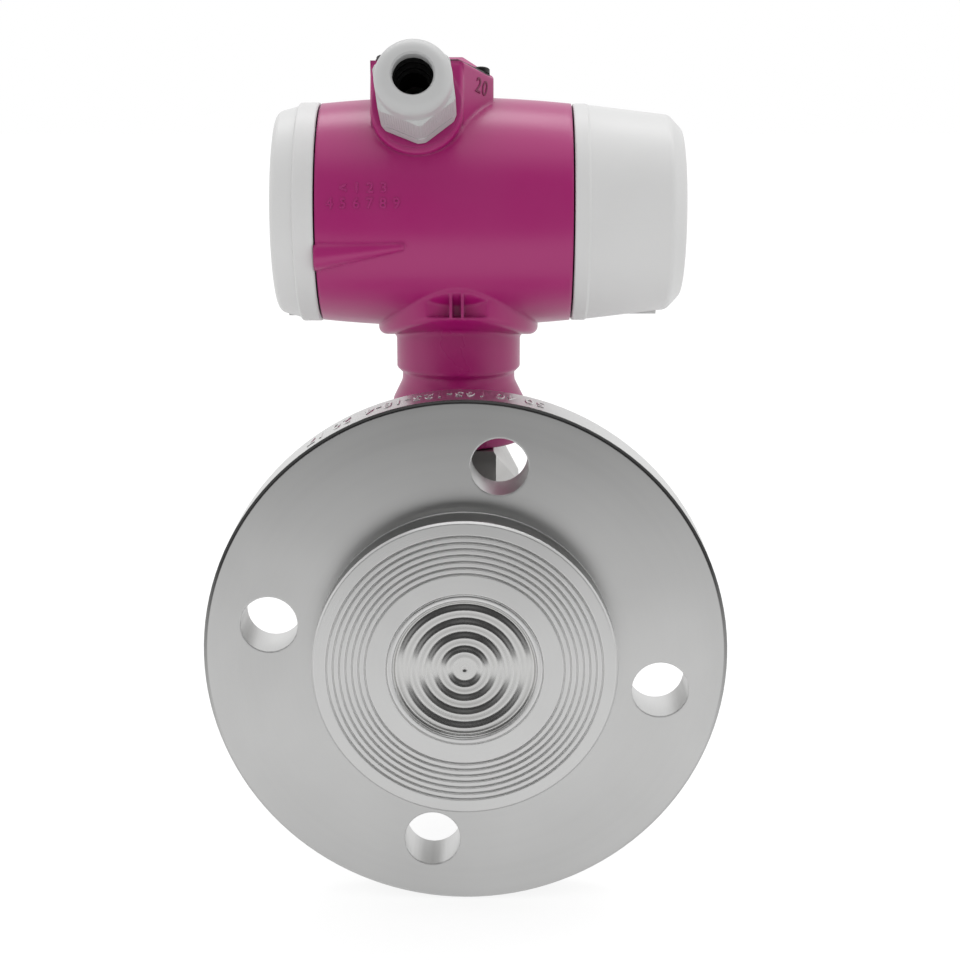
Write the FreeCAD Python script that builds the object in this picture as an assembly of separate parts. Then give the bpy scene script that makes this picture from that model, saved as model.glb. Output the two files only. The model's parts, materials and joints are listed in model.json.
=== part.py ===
import FreeCAD, Part
import math
import os

from FreeCAD import Rotation, Vector

# Differential pressure transmitter with a flush diaphragm seal on a DN 50 flange.
# Millimetres, +Z up. The origin is the centre of the flange's front face, the process lies
# towards -Y, and the round electronics housing stands above the cell behind the flange.

os.makedirs("parts", exist_ok=True)

UP = Vector(0, 0, 1)
TO_PROCESS = Vector(0, -1, 0)
TO_REAR = Vector(0, 1, 0)
TO_LEFT = Vector(-1, 0, 0)
TO_RIGHT = Vector(1, 0, 0)

# ---------------------------------------------------------------- clearances
RUNNING_GAP = 0.1       # radial, threads and turning fits
FACE_GAP = 0.3          # between faces that turn or clamp past each other
SEAL_GAP = 0.05         # rubber rings against their seats
EMBED = 0.5             # how far a boss reaches into what it is cast with

# ---------------------------------------------------------------- process flange and seal
FLANGE_RADIUS = 82.5
FLANGE_THICKNESS = 18.0
FLANGE_CHAMFER = 0.8
BOLT_CIRCLE_RADIUS = 62.5
BOLT_HOLE_RADIUS = 9.0
BOLT_HOLE_COUNT = 4
BOLT_PATTERN_TURN = -9.8
RAISED_FACE_RADIUS = 47.2
RAISED_FACE_HEIGHT = 4.4
SEAL_RADIUS = 47.45
SEAL_THICKNESS = 7.9
SEAL_CHAMFER = 0.7
SEAL_STEM_RADIUS = 10.0
SEAL_STEM_LENGTH = 24.0
OIL_PASSAGE_RADIUS = 1.5
GROOVE_COUNT = 7
GROOVE_FIRST_RADIUS = 30.9
GROOVE_PITCH = 1.98
GROOVE_HALF_WIDTH = 0.4
GROOVE_DEPTH = 0.45
DIAPHRAGM_SEAT_RADIUS = 24.5
DIAPHRAGM_EDGE_RADIUS = 22.2
DIAPHRAGM_THICKNESS = 0.3
DIAPHRAGM_RECESS = 1.3
WAVE_PITCH = 4.4
WAVE_HEIGHT = 0.9
WAVE_COUNT = 4
CENTRE_FLAT_RADIUS = 3.3

# ---------------------------------------------------------------- measuring cell
NECK_X = -2.8
NECK_Y = 50.0
CELL_RADIUS = 31.5
CELL_THICKNESS = 43.0
CELL_EDGE_ROUND = 1.5
CLAMP_EDGE = 9.0           # from a bolt's centre to the side of its flange
CLAMP_CORNER_ROUND = 10.0
LOW_FLANGE_THICKNESS = 20.0
CELL_BOLT_GAP = 1.7        # between a bolt and the round cell body
CELL_BOLT_RADIUS = 5.0
CELL_BOLT_HEAD_FLATS = 16.0
CELL_BOLT_HEAD_HEIGHT = 6.4
CELL_BOLT_ENGAGEMENT = 15.0
WASHER_RADIUS = 9.5
WASHER_THICKNESS = 2.0
GASKET_INNER_RADIUS = 25.0
GASKET_WIDTH = 3.5
GASKET_THICKNESS = 2.1
ISOLATOR_RADIUS = 22.0
CAVITY_DEPTH = 1.0
PORT_RADIUS = 6.4
PORT_DEPTH = 14.0
SIDE_PORT_RADIUS = 6.4
SIDE_PORT_DEPTH = 12.0
SIDE_PLUG_SOCKET_FLATS = 6.0
SIDE_PLUG_SOCKET_DEPTH = 5.0

# ---------------------------------------------------------------- sensor neck
HEX_TOP_Z = 59.9
HEX_SHOULDER_Z = 47.0
HEX_TOP_HALF_WIDTH = 11.6
HEX_SHOULDER_HALF_WIDTH = 20.0
SPIGOT_RADIUS = 15.0
SPIGOT_TOP_Z = 84.0
SPIGOT_CHAMFER = 1.0
LOCK_GROOVE_Z = 65.0
LOCK_GROOVE_WIDTH = 5.4
LOCK_GROOVE_DEPTH = 1.6
NECK_RING_Z = 77.0
NECK_RING_SECTION = 2.3
HEADER_RADIUS = 10.5
HEADER_HEIGHT = 3.0
HEADER_PIN_COUNT = 8
HEADER_PIN_CIRCLE = 7.0
HEADER_PIN_RADIUS = 0.5
HEADER_PIN_LENGTH = 2.0

# ---------------------------------------------------------------- housing, along the barrel from the neck axis
BARREL_Z = 134.3
BARREL_END_RADIUS = 34.6
BARREL_BULGE = 2.0
TERMINAL_SEAM = 43.4
ELECTRONICS_SEAM = 36.0
COMPARTMENT_RADIUS = 29.5
PARTITION_THICKNESS = 3.0
PARTITION_FACE = 0.5
THREAD_RADIUS = 30.3
THREAD_DEPTH = 10.0
COVER_GAP = 0.5
COVER_RING_SECTION = 2.4
NECK_RADIUS = 20.2
NECK_WAIST_RADIUS = 18.4
NECK_BASE_RADIUS = 21.5
NECK_WAIST_Z = 79.8
NECK_WAIST_ROUND = 4.5
NECK_SHOULDER_Z = 84.3
NECK_BASE_TOP_Z = 73.5
NECK_BORE_TOP_Z = 91.0
WIRE_PASSAGE_RADIUS = 7.5
PAD_HALF_WIDTH = 26.0
PAD_HALF_DEPTH = 30.3
PAD_RADIUS = 56.0
PAD_LOW_Z = 95.3
PAD_EDGE_ROUND = 2.2
NECK_ROOT_ROUND = 1.8
POCKET_RADIUS = 26.0
POCKET_LOW_Z = 104.6
POCKET_RIM_RADIUS = 37.3
POCKET_DEPTH = 4.0
POCKET_RIB_SPACING = 3.6
POCKET_RIB_THICKNESS = 0.9
LOCK_SCREW_ANGLE = 16.0
LOCK_SCREW_RADIUS = 2.5
LOCK_LUG_RADIUS = 4.4
LOCK_LUG_REACH = 1.3

# ---------------------------------------------------------------- cable entries
ENTRY_X = -12.1
ENTRY_FACE_OFFSET = 27.0
ENTRY_RISE = 1.0          # of a sealing face's centre over the barrel's end
ENTRY_TILT = 20.0
ENTRY_RADIUS = 9.8
ENTRY_DEPTH = 24.0
EAR_RADIUS = 14.3
EAR_DROP = 1.1            # centre of the round bottom below the entry axis
EAR_ROOF_HEIGHT = 13.8
EAR_LENGTH = 26.0
EAR_RING_RADIUS = 13.7
EAR_RING_HEIGHT = 0.6
EAR_EDGE_ROUND = 1.6
SADDLE_REACH = 11.4
SADDLE_HALF_DEPTH = 7.5
SADDLE_LOW_Z = 145.0

# ---------------------------------------------------------------- covers
RIM_RADIUS = 34.9
ELECTRONICS_RIM_RADIUS = 34.6
RIM_LENGTH = 6.5
RIM_ROUND = 0.7
TERMINAL_COVER_LENGTH = 13.8
TERMINAL_CAP_RADIUS = 33.9
TERMINAL_CAP_END_RADIUS = 31.8
TERMINAL_CAP_ROUND = 2.6
ELECTRONICS_COVER_LENGTH = 35.1
ELECTRONICS_RIM_LENGTH = 4.3
ELECTRONICS_CAP_RADIUS = 34.2
ELECTRONICS_TAPER_END = 30.7
ELECTRONICS_TAPER_RADIUS = 31.1
ELECTRONICS_END_RADIUS = 26.4
ELECTRONICS_CAP_ROUND = 3.0
COVER_WALL = 3.2
SKIRT_LENGTH = 9.0
SKIRT_WALL = 3.0
LUG_HALF_WIDTH = 4.0
LUG_HEIGHT = 1.2

# ---------------------------------------------------------------- cable gland and blind plug
STUB_LENGTH = 11.0
GLAND_RING_SECTION = 1.6
BODY_FLATS = 23.2
BODY_HEX_LENGTH = 5.0
NUT_FLATS = 23.2
NUT_START = 6.6
NUT_HEX_END = 21.5
NUT_LENGTH_END = 29.6
NUT_OPENING_RADIUS = 6.1
NUT_NOSE_ROUND = 4.6
NUT_BORE_RADIUS = 9.4
NUT_TRAVEL = 6.0
NUT_TURN = 38.0           # turn of the hexagons from a corner at local X
GLAND_NECK_RADIUS = 9.3
GLAND_NECK_END = 20.0
GLAND_BORE_RADIUS = 7.6
CABLE_BORE_RADIUS = 4.5
SEAL_INSERT_LENGTH = 17.0
SLIP_RING_THICKNESS = 1.4
PLUG_HEAD_RADIUS = 12.0
PLUG_HEAD_HEIGHT = 3.2
PLUG_SOCKET_FLATS = 10.0
PLUG_SOCKET_DEPTH = 7.0

# ---------------------------------------------------------------- insides and small hardware
TERMINAL_BLOCK_RADIUS = 25.0
TERMINAL_BLOCK_THICKNESS = 11.0
TERMINAL_BLOCK_TOP = 9.0
TERMINAL_STEP = 11.0
TERMINAL_COUNT = 3
TERMINAL_SCREW_RADIUS = 2.4
TERMINAL_SCREW_LENGTH = 7.0
TERMINAL_PLATE_SIZE = 7.0
TERMINAL_PLATE_THICKNESS = 1.2
MODULE_RADIUS = 26.0
MODULE_LENGTH = 19.0
MODULE_EDGE_ROUND = 1.5
BOARD_RADIUS = 25.0
BOARD_THICKNESS = 1.6
BOARD_SCREW_CIRCLE = 21.0
BOARD_SCREW_COUNT = 3
KEY_FRAME_WIDTH = 24.0
KEY_FRAME_HEIGHT = 12.0
KEY_FRAME_DEPTH = 5.0
KEY_SPACING = 12.0
KEY_RADIUS = 2.5
KEY_FOOT_RADIUS = 3.4
KEY_FOOT_THICKNESS = 1.0
KEY_PROUD = 1.6
KEY_TRAVEL = 0.8
PARTITION_PLUG_RADIUS = 5.0
PARTITION_PLUG_HEIGHT = 16.5
SMALL_SCREW_RADIUS = 1.5
SMALL_HEAD_RADIUS = 2.8
SMALL_HEAD_HEIGHT = 1.8
SMALL_SCREW_LENGTH = 6.0
SLOT_WIDTH = 0.8
SLOT_DEPTH = 0.7
PLATE_THICKNESS = 0.8
PLATE_INSET = 1.2
COVER_LOCK_BOSS_RADIUS = 5.4
COVER_LOCK_BOSS_LENGTH = 26.5
COVER_LOCK_BOSS_TIP = 1.4
COVER_LOCK_BOSS_OFFSET = 31.8
COVER_LOCK_TIP_OFFSET = 36.0
COVER_LOCK_TIP_ANGLE = 11.0
COVER_LOCK_ANGLE = 18.0
COVER_LOCK_SCREW_OFFSET = 34.6
COVER_LOCK_SCREW_RADIUS = 1.5
COVER_LOCK_SCREW_LENGTH = 8.0
GROUND_X = 20.0
GROUND_DROP = 14.0
GROUND_BOSS_RADIUS = 6.5
GROUND_BOSS_REACH = 41.0
GROUND_SCREW_RADIUS = 2.5
GROUND_CLAMP_SIZE = 11.0
GROUND_CLAMP_THICKNESS = 1.6
INNER_GROUND_RISE = 15.5
INNER_GROUND_SIDE = 15.5
INNER_GROUND_BOSS_HEIGHT = 4.0
INNER_GROUND_BOSS_RADIUS = 4.8

# ---------------------------------------------------------------- derived places
SEAL_BACK_Y = -RAISED_FACE_HEIGHT
SEAL_FRONT_Y = SEAL_BACK_Y - SEAL_THICKNESS
CELL_FRONT_Y = NECK_Y - CELL_THICKNESS / 2
CELL_BACK_Y = NECK_Y + CELL_THICKNESS / 2
HUB_BACK_Y = CELL_FRONT_Y - FACE_GAP
LOW_FLANGE_FRONT_Y = CELL_BACK_Y + FACE_GAP
LOW_FLANGE_BACK_Y = LOW_FLANGE_FRONT_Y + LOW_FLANGE_THICKNESS
NECK_BASE_Z = HEX_TOP_Z + FACE_GAP
NECK_BORE_RADIUS = SPIGOT_RADIUS + SEAL_GAP
COVER_RING_SEAT_DEPTH = COVER_RING_SECTION + 2 * SEAL_GAP - COVER_GAP
COVER_RING_INNER = THREAD_RADIUS
SKIRT_RADIUS = THREAD_RADIUS - RUNNING_GAP
CELL_BOLT_SPACING = (CELL_RADIUS + CELL_BOLT_RADIUS + CELL_BOLT_GAP) * math.sqrt(2)
CLAMP_HALF_WIDTH = CELL_BOLT_SPACING / 2 + CLAMP_EDGE
BARREL_MIDDLE_RADIUS = BARREL_END_RADIUS + BARREL_BULGE
ENTRY_FACE_Z = BARREL_Z + BARREL_END_RADIUS + ENTRY_RISE
NECK_AXIS = Vector(NECK_X, NECK_Y, 0)
BARREL_CENTRE = Vector(NECK_X, NECK_Y, BARREL_Z)


# ================================================================ helpers
def rounded_wire(corners):
    """Closed outline in the local XZ plane; each corner is (x, z, rounding radius)."""
    points = [Vector(x, 0, z) for x, z, _ in corners]
    pieces = []
    for index, point in enumerate(points):
        rounding = corners[index][2]
        before = (points[index - 1] - point).normalize()
        after = (points[(index + 1) % len(points)] - point).normalize()
        if rounding == 0:
            pieces.append((point, None, point))
            continue
        half = before.getAngle(after) / 2
        middle = (before + after).normalize()
        reach = rounding / math.tan(half)
        centre = point + middle * (rounding / math.sin(half))
        pieces.append((point + before * reach, centre - middle * rounding, point + after * reach))
    edges = []
    for index, (start, middle, end) in enumerate(pieces):
        if middle is not None:
            edges.append(Part.Arc(start, middle, end).toShape())
        following = pieces[(index + 1) % len(pieces)][0]
        if end.distanceToPoint(following) > 1e-6:
            edges.append(Part.LineSegment(end, following).toShape())
    return Part.Wire(edges)


def turned(corners):
    """Solid of revolution about local Z from corners (radius, height, rounding)."""
    face = Part.Face(rounded_wire(corners))
    return face.revolve(Vector(0, 0, 0), UP, 360)


def placed(shape, origin, direction):
    """The shape with its local +Z along direction and its local origin at origin."""
    moved = shape.copy()
    moved.Placement = FreeCAD.Placement(origin, Rotation(UP, direction))
    return moved


def rod(radius, start, direction, length):
    """Plain cylinder from start along direction."""
    return Part.makeCylinder(radius, length, start, direction)


def tube(outer, inner, start, direction, length):
    """Plain ring from start along direction."""
    return rod(outer, start, direction, length).cut(rod(inner, start, direction, length))


def rubber_ring(inner_radius, section, centre, direction):
    """O-ring whose inside touches inner_radius; centre is the middle of its section."""
    major = inner_radius + section / 2
    return Part.makeTorus(major, section / 2, centre, direction)


def hexagon(across_flats, low, high, turn=0.0):
    """Hexagonal prism about local Z; at turn 0 a corner points along local X."""
    corner = across_flats / math.sqrt(3)
    points = []
    for step in range(7):
        angle = math.radians(60 * step + turn)
        points.append(Vector(corner * math.cos(angle), corner * math.sin(angle), low))
    return Part.Face(Part.makePolygon(points)).extrude(UP * (high - low))


def slab(points, direction):
    """Prism from a closed list of corner vectors, extruded by the direction vector."""
    return Part.Face(Part.makePolygon(points + points[:1])).extrude(direction)


def box(low, high):
    """Axis-aligned block between two corners."""
    size = high - low
    return Part.makeBox(size.x, size.y, size.z, low)


def rounded_square(half_width, corner_round, start, length):
    """Square plate with round corners, extruded along +Y from start."""
    corners = [(half_width * a, half_width * b, corner_round) for a, b in ((1, 1), (-1, 1), (-1, -1), (1, -1))]
    plate = Part.Face(rounded_wire(corners)).extrude(TO_REAR * length)
    plate.translate(start)
    return plate


def slotted_screw(head_radius, head_height, shank_radius, shank_length):
    """Cheese-head screw: head above local Z 0, shank below it."""
    corners = [
        (0, -shank_length, 0),
        (shank_radius, -shank_length, 0),
        (shank_radius, 0, 0),
        (head_radius, 0, 0),
        (head_radius, head_height, head_height * 0.3),
        (0, head_height, 0),
    ]
    slot = box(
        Vector(-head_radius * 2, -SLOT_WIDTH / 2, head_height - SLOT_DEPTH),
        Vector(head_radius * 2, SLOT_WIDTH / 2, head_height + SLOT_DEPTH),
    )
    return turned(corners).cut(slot)


def fused(shapes):
    """One solid from shapes that meet."""
    whole = shapes[0]
    for shape in shapes[1:]:
        whole = whole.fuse(shape)
    return whole.removeSplitter()


def export(name, *shapes):
    """Writes one node; several shapes become a group of separate solids."""
    node = shapes[0] if len(shapes) == 1 else Part.makeCompound(list(shapes))
    node.exportStep("parts/" + name + ".step")


def on_circle(radius, count, first_angle):
    """(x, z) places on a circle, angles in degrees from +X."""
    places = []
    for step in range(count):
        angle = math.radians(first_angle + 360 * step / count)
        places.append((radius * math.cos(angle), radius * math.sin(angle)))
    return places


def wave_radii():
    """Crest and trough radii of the corrugated diaphragm, from the centre outwards."""
    radii = [CENTRE_FLAT_RADIUS]
    for step in range(2 * WAVE_COUNT):
        radii.append(CENTRE_FLAT_RADIUS + (step + 1) * WAVE_PITCH / 2)
    return radii


def corrugated_disc(edge_radius, seat_radius):
    """Thin disc with concentric waves about local Z, its rim at local Z 0, waves below it."""
    top = [Vector(0, 0, 0)]
    for step, radius in enumerate(wave_radii()):
        if radius < edge_radius:
            top.append(Vector(radius, 0, -WAVE_HEIGHT if step % 2 else 0))
    top.append(Vector(edge_radius, 0, 0))
    top.append(Vector(seat_radius, 0, 0))
    bottom = [point - UP * DIAPHRAGM_THICKNESS for point in reversed(top)]
    section = Part.Face(Part.makePolygon(top + bottom + top[:1]))
    return section.revolve(Vector(0, 0, 0), UP, 360)


# ================================================================ process side
def bolt_places():
    """Bolt hole centres of the process flange in X and Z."""
    return on_circle(BOLT_CIRCLE_RADIUS, BOLT_HOLE_COUNT, BOLT_PATTERN_TURN)


def cell_bolt_places():
    """Cell bolt centres in X and Z."""
    half = CELL_BOLT_SPACING / 2
    return [(NECK_X + half * a, half * b) for a in (-1, 1) for b in (-1, 1)]


def process_flange():
    """Turned flange with raised face, square hub for the cell and four bolt holes."""
    corners = [
        (0, 0, 0),
        (FLANGE_RADIUS - FLANGE_CHAMFER, 0, 0),
        (FLANGE_RADIUS, FLANGE_CHAMFER, 0),
        (FLANGE_RADIUS, FLANGE_THICKNESS - FLANGE_CHAMFER, 0),
        (FLANGE_RADIUS - FLANGE_CHAMFER, FLANGE_THICKNESS, 0),
        (0, FLANGE_THICKNESS, 0),
    ]
    plate = placed(turned(corners), Vector(0, 0, 0), TO_REAR)
    raised = rod(RAISED_FACE_RADIUS, Vector(0, 0, 0), TO_PROCESS, RAISED_FACE_HEIGHT)
    hub_start = Vector(NECK_X, FLANGE_THICKNESS - EMBED, 0)
    hub_length = HUB_BACK_Y - FLANGE_THICKNESS + EMBED
    hub = rounded_square(CLAMP_HALF_WIDTH, CLAMP_CORNER_ROUND, hub_start, hub_length)
    body = fused([plate, raised, hub])
    for x, z in bolt_places():
        body = body.cut(rod(BOLT_HOLE_RADIUS, Vector(x, -1, z), TO_REAR, FLANGE_THICKNESS + 2))
    stem_end = SEAL_BACK_Y + SEAL_STEM_LENGTH
    body = body.cut(rod(SEAL_STEM_RADIUS, Vector(0, SEAL_BACK_Y, 0), TO_REAR, SEAL_STEM_LENGTH))
    body = body.cut(rod(OIL_PASSAGE_RADIUS, Vector(0, stem_end, 0), TO_REAR, HUB_BACK_Y - stem_end))
    cavity = rod(ISOLATOR_RADIUS, Vector(NECK_X, HUB_BACK_Y, 0), TO_PROCESS, CAVITY_DEPTH)
    body = body.cut(cavity)
    body = body.cut(gasket_ring(CELL_FRONT_Y, TO_PROCESS))
    hole_depth = CELL_BOLT_ENGAGEMENT + FACE_GAP
    for x, z in cell_bolt_places():
        body = body.cut(rod(CELL_BOLT_RADIUS, Vector(x, HUB_BACK_Y, z), TO_PROCESS, hole_depth))
    return body


def gasket_ring(face_y, direction):
    """Flat gasket from a cell face at face_y along direction."""
    outer = GASKET_INNER_RADIUS + GASKET_WIDTH
    return tube(outer, GASKET_INNER_RADIUS, Vector(NECK_X, face_y, 0), direction, GASKET_THICKNESS)


def seal_disc():
    """Grooved sealing disc with its stem, turned from one piece; local Z points to the process."""
    top = SEAL_THICKNESS
    floor = top - DIAPHRAGM_RECESS
    seat = top - DIAPHRAGM_THICKNESS
    corners = [
        (0, 0, 0),
        (SEAL_RADIUS - SEAL_CHAMFER / 2, 0, 0),
        (SEAL_RADIUS, SEAL_CHAMFER / 2, 0),
        (SEAL_RADIUS, top - SEAL_CHAMFER, 0),
        (SEAL_RADIUS - SEAL_CHAMFER, top, 0),
    ]
    for step in reversed(range(GROOVE_COUNT)):
        radius = GROOVE_FIRST_RADIUS + step * GROOVE_PITCH
        corners.append((radius + GROOVE_HALF_WIDTH, top, 0))
        corners.append((radius, top - GROOVE_DEPTH, 0))
        corners.append((radius - GROOVE_HALF_WIDTH, top, 0))
    corners += [
        (DIAPHRAGM_SEAT_RADIUS, top, 0),
        (DIAPHRAGM_SEAT_RADIUS, seat, 0),
        (DIAPHRAGM_EDGE_RADIUS, seat, 0),
        (DIAPHRAGM_EDGE_RADIUS, floor - FACE_GAP, 0),
        (0, floor - FACE_GAP, 0),
    ]
    disc = turned(corners)
    stem = rod(SEAL_STEM_RADIUS, Vector(0, 0, EMBED), -UP, SEAL_STEM_LENGTH + EMBED)
    drilled = fused([disc, stem])
    drilled = drilled.cut(rod(OIL_PASSAGE_RADIUS, Vector(0, 0, top), -UP, top + SEAL_STEM_LENGTH))
    return placed(drilled, Vector(0, SEAL_BACK_Y, 0), TO_PROCESS)


def process_diaphragm():
    """Corrugated foil welded flush into the seal disc."""
    foil = corrugated_disc(DIAPHRAGM_EDGE_RADIUS, DIAPHRAGM_SEAT_RADIUS)
    return placed(foil, Vector(0, SEAL_FRONT_Y, 0), TO_PROCESS)


# ================================================================ measuring cell
def sensor_body():
    """Cell capsule, shouldered hexagon neck and the spigot that carries the housing."""
    capsule_corners = [
        (0, 0, 0),
        (CELL_RADIUS, 0, CELL_EDGE_ROUND),
        (CELL_RADIUS, CELL_THICKNESS, CELL_EDGE_ROUND),
        (0, CELL_THICKNESS, 0),
    ]
    capsule = placed(turned(capsule_corners), Vector(NECK_X, CELL_FRONT_Y, 0), TO_REAR)
    prism = hexagon(CELL_THICKNESS, 0, HEX_TOP_Z)
    gable = slab(
        [
            Vector(-HEX_SHOULDER_HALF_WIDTH, -CELL_THICKNESS, CELL_RADIUS / 2),
            Vector(HEX_SHOULDER_HALF_WIDTH, -CELL_THICKNESS, CELL_RADIUS / 2),
            Vector(HEX_SHOULDER_HALF_WIDTH, -CELL_THICKNESS, HEX_SHOULDER_Z),
            Vector(HEX_TOP_HALF_WIDTH, -CELL_THICKNESS, HEX_TOP_Z),
            Vector(-HEX_TOP_HALF_WIDTH, -CELL_THICKNESS, HEX_TOP_Z),
            Vector(-HEX_SHOULDER_HALF_WIDTH, -CELL_THICKNESS, HEX_SHOULDER_Z),
        ],
        TO_REAR * (2 * CELL_THICKNESS),
    )
    neck = prism.common(gable)
    neck.translate(NECK_AXIS)
    groove_floor = SPIGOT_RADIUS - LOCK_GROOVE_DEPTH
    ring_floor = SPIGOT_RADIUS - NECK_RING_SECTION
    half_ring = NECK_RING_SECTION / 2 + SEAL_GAP
    half_lock = LOCK_GROOVE_WIDTH / 2
    spigot_corners = [
        (0, HEX_TOP_Z - EMBED, 0),
        (SPIGOT_RADIUS, HEX_TOP_Z - EMBED, 0),
        (SPIGOT_RADIUS, LOCK_GROOVE_Z - half_lock, 0),
        (groove_floor, LOCK_GROOVE_Z - half_lock, 0),
        (groove_floor, LOCK_GROOVE_Z + half_lock, 0),
        (SPIGOT_RADIUS, LOCK_GROOVE_Z + half_lock, 0),
        (SPIGOT_RADIUS, NECK_RING_Z - half_ring, 0),
        (ring_floor, NECK_RING_Z - half_ring, 0),
        (ring_floor, NECK_RING_Z + half_ring, 0),
        (SPIGOT_RADIUS, NECK_RING_Z + half_ring, 0),
        (SPIGOT_RADIUS, SPIGOT_TOP_Z - SPIGOT_CHAMFER, 0),
        (SPIGOT_RADIUS - SPIGOT_CHAMFER, SPIGOT_TOP_Z, 0),
        (0, SPIGOT_TOP_Z, 0),
    ]
    spigot = placed(turned(spigot_corners), NECK_AXIS, UP)
    body = fused([capsule, neck, spigot])
    for face_y, inward in ((CELL_FRONT_Y, TO_REAR), (CELL_BACK_Y, TO_PROCESS)):
        recess = rod(ISOLATOR_RADIUS, Vector(NECK_X, face_y, 0), inward, CAVITY_DEPTH + FACE_GAP)
        body = body.cut(recess)
    return body


def isolating_diaphragms():
    """The two corrugated foils that close the cell's oil fill."""
    front = corrugated_disc(ISOLATOR_RADIUS - WAVE_PITCH / 2, ISOLATOR_RADIUS)
    shapes = []
    for face_y, outward in ((CELL_FRONT_Y, TO_PROCESS), (CELL_BACK_Y, TO_REAR)):
        shapes.append(placed(front, Vector(NECK_X, face_y, 0), outward))
    return shapes


def low_pressure_flange():
    """Rear clamping flange with the tapped low-pressure port and a side port."""
    start = Vector(NECK_X, LOW_FLANGE_FRONT_Y, 0)
    body = rounded_square(CLAMP_HALF_WIDTH, CLAMP_CORNER_ROUND, start, LOW_FLANGE_THICKNESS)
    body = body.makeFillet(CELL_EDGE_ROUND, face_edges(body, LOW_FLANGE_BACK_Y))
    body = body.cut(rod(ISOLATOR_RADIUS, start, TO_REAR, CAVITY_DEPTH))
    body = body.cut(gasket_ring(CELL_BACK_Y, TO_REAR))
    back = Vector(NECK_X, LOW_FLANGE_BACK_Y, 0)
    body = body.cut(rod(PORT_RADIUS, back, TO_PROCESS, PORT_DEPTH))
    body = body.cut(rod(OIL_PASSAGE_RADIUS, start, TO_REAR, LOW_FLANGE_THICKNESS))
    side = Vector(NECK_X + CLAMP_HALF_WIDTH, NECK_Y + side_port_offset(), 0)
    body = body.cut(rod(SIDE_PORT_RADIUS, side, TO_LEFT, SIDE_PORT_DEPTH))
    body = body.cut(rod(OIL_PASSAGE_RADIUS, side, TO_LEFT, CLAMP_HALF_WIDTH))
    for x, z in cell_bolt_places():
        hole = rod(CELL_BOLT_RADIUS + FACE_GAP, Vector(x, LOW_FLANGE_FRONT_Y, z), TO_REAR, LOW_FLANGE_THICKNESS)
        body = body.cut(hole)
    return body


def side_port_offset():
    """Distance of the side port's axis behind the neck axis: the middle of the rear flange."""
    return LOW_FLANGE_FRONT_Y + LOW_FLANGE_THICKNESS / 2 - NECK_Y


def face_edges(solid, level):
    """Edges of the flat face of a solid that lies at Y = level."""
    chosen = []
    for edge in solid.Edges:
        if all(abs(vertex.Y - level) < 1e-6 for vertex in edge.Vertexes):
            chosen.append(edge)
    return chosen


def side_plug():
    """Screw plug with a hexagon socket in the low-pressure flange's side port."""
    length = SIDE_PORT_DEPTH - FACE_GAP
    body = turned(
        [
            (0, 0, 0),
            (SIDE_PORT_RADIUS, 0, 0),
            (SIDE_PORT_RADIUS, length, 0.6),
            (0, length, 0),
        ]
    )
    socket = hexagon(SIDE_PLUG_SOCKET_FLATS, length - SIDE_PLUG_SOCKET_DEPTH, length + 1)
    origin = Vector(NECK_X + CLAMP_HALF_WIDTH - length, NECK_Y + side_port_offset(), 0)
    return placed(body.cut(socket), origin, TO_RIGHT)


def cell_bolts():
    """Four hexagon bolts that clamp the cell between the two flanges."""
    seat = LOW_FLANGE_BACK_Y + WASHER_THICKNESS
    shank = seat - HUB_BACK_Y + CELL_BOLT_ENGAGEMENT
    dome = turned(
        [
            (0, 0, 0),
            (CELL_BOLT_HEAD_FLATS / 2 + 1, 0, 0),
            (CELL_BOLT_HEAD_FLATS / 2 + 1, CELL_BOLT_HEAD_HEIGHT * 0.8, 0),
            (CELL_BOLT_HEAD_FLATS / 2 - 0.5, CELL_BOLT_HEAD_HEIGHT, 0),
            (0, CELL_BOLT_HEAD_HEIGHT, 0),
        ]
    )
    head = hexagon(CELL_BOLT_HEAD_FLATS, 0, CELL_BOLT_HEAD_HEIGHT).common(dome)
    bolt = fused([head, rod(CELL_BOLT_RADIUS, Vector(0, 0, EMBED), -UP, shank + EMBED)])
    return [placed(bolt, Vector(x, seat, z), TO_REAR) for x, z in cell_bolt_places()]


def cell_washers():
    """Washers under the four bolt heads."""
    shapes = []
    for x, z in cell_bolt_places():
        start = Vector(x, LOW_FLANGE_BACK_Y, z)
        shapes.append(tube(WASHER_RADIUS, CELL_BOLT_RADIUS, start, TO_REAR, WASHER_THICKNESS))
    return shapes


def sensor_header():
    """Round connector on top of the spigot with its ring of pins."""
    base = NECK_AXIS + UP * SPIGOT_TOP_Z
    pieces = [rod(HEADER_RADIUS, base, UP, HEADER_HEIGHT)]
    for x, y in on_circle(HEADER_PIN_CIRCLE, HEADER_PIN_COUNT, 0):
        foot = base + Vector(x, y, HEADER_HEIGHT - EMBED)
        pieces.append(rod(HEADER_PIN_RADIUS, foot, UP, HEADER_PIN_LENGTH + EMBED))
    return fused(pieces)


def neck_oring():
    """Rubber ring that seals the housing on the spigot."""
    centre = NECK_AXIS + UP * NECK_RING_Z
    return rubber_ring(SPIGOT_RADIUS - NECK_RING_SECTION, NECK_RING_SECTION, centre, UP)


# ================================================================ housing
def entry_axis(side):
    """Outward direction of a cable entry; side -1 is the front entry, +1 the rear one."""
    tilt = math.radians(ENTRY_TILT)
    return Vector(0, side * math.cos(tilt), math.sin(tilt))


def entry_origin(side):
    """Centre of a cable entry's sealing face."""
    return Vector(NECK_X + ENTRY_X, NECK_Y + side * ENTRY_FACE_OFFSET, ENTRY_FACE_Z)


def on_entry(shape, side):
    """A shape modelled about local Z, carried to a cable entry with its local X kept."""
    return placed(shape, entry_origin(side), entry_axis(side))


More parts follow.
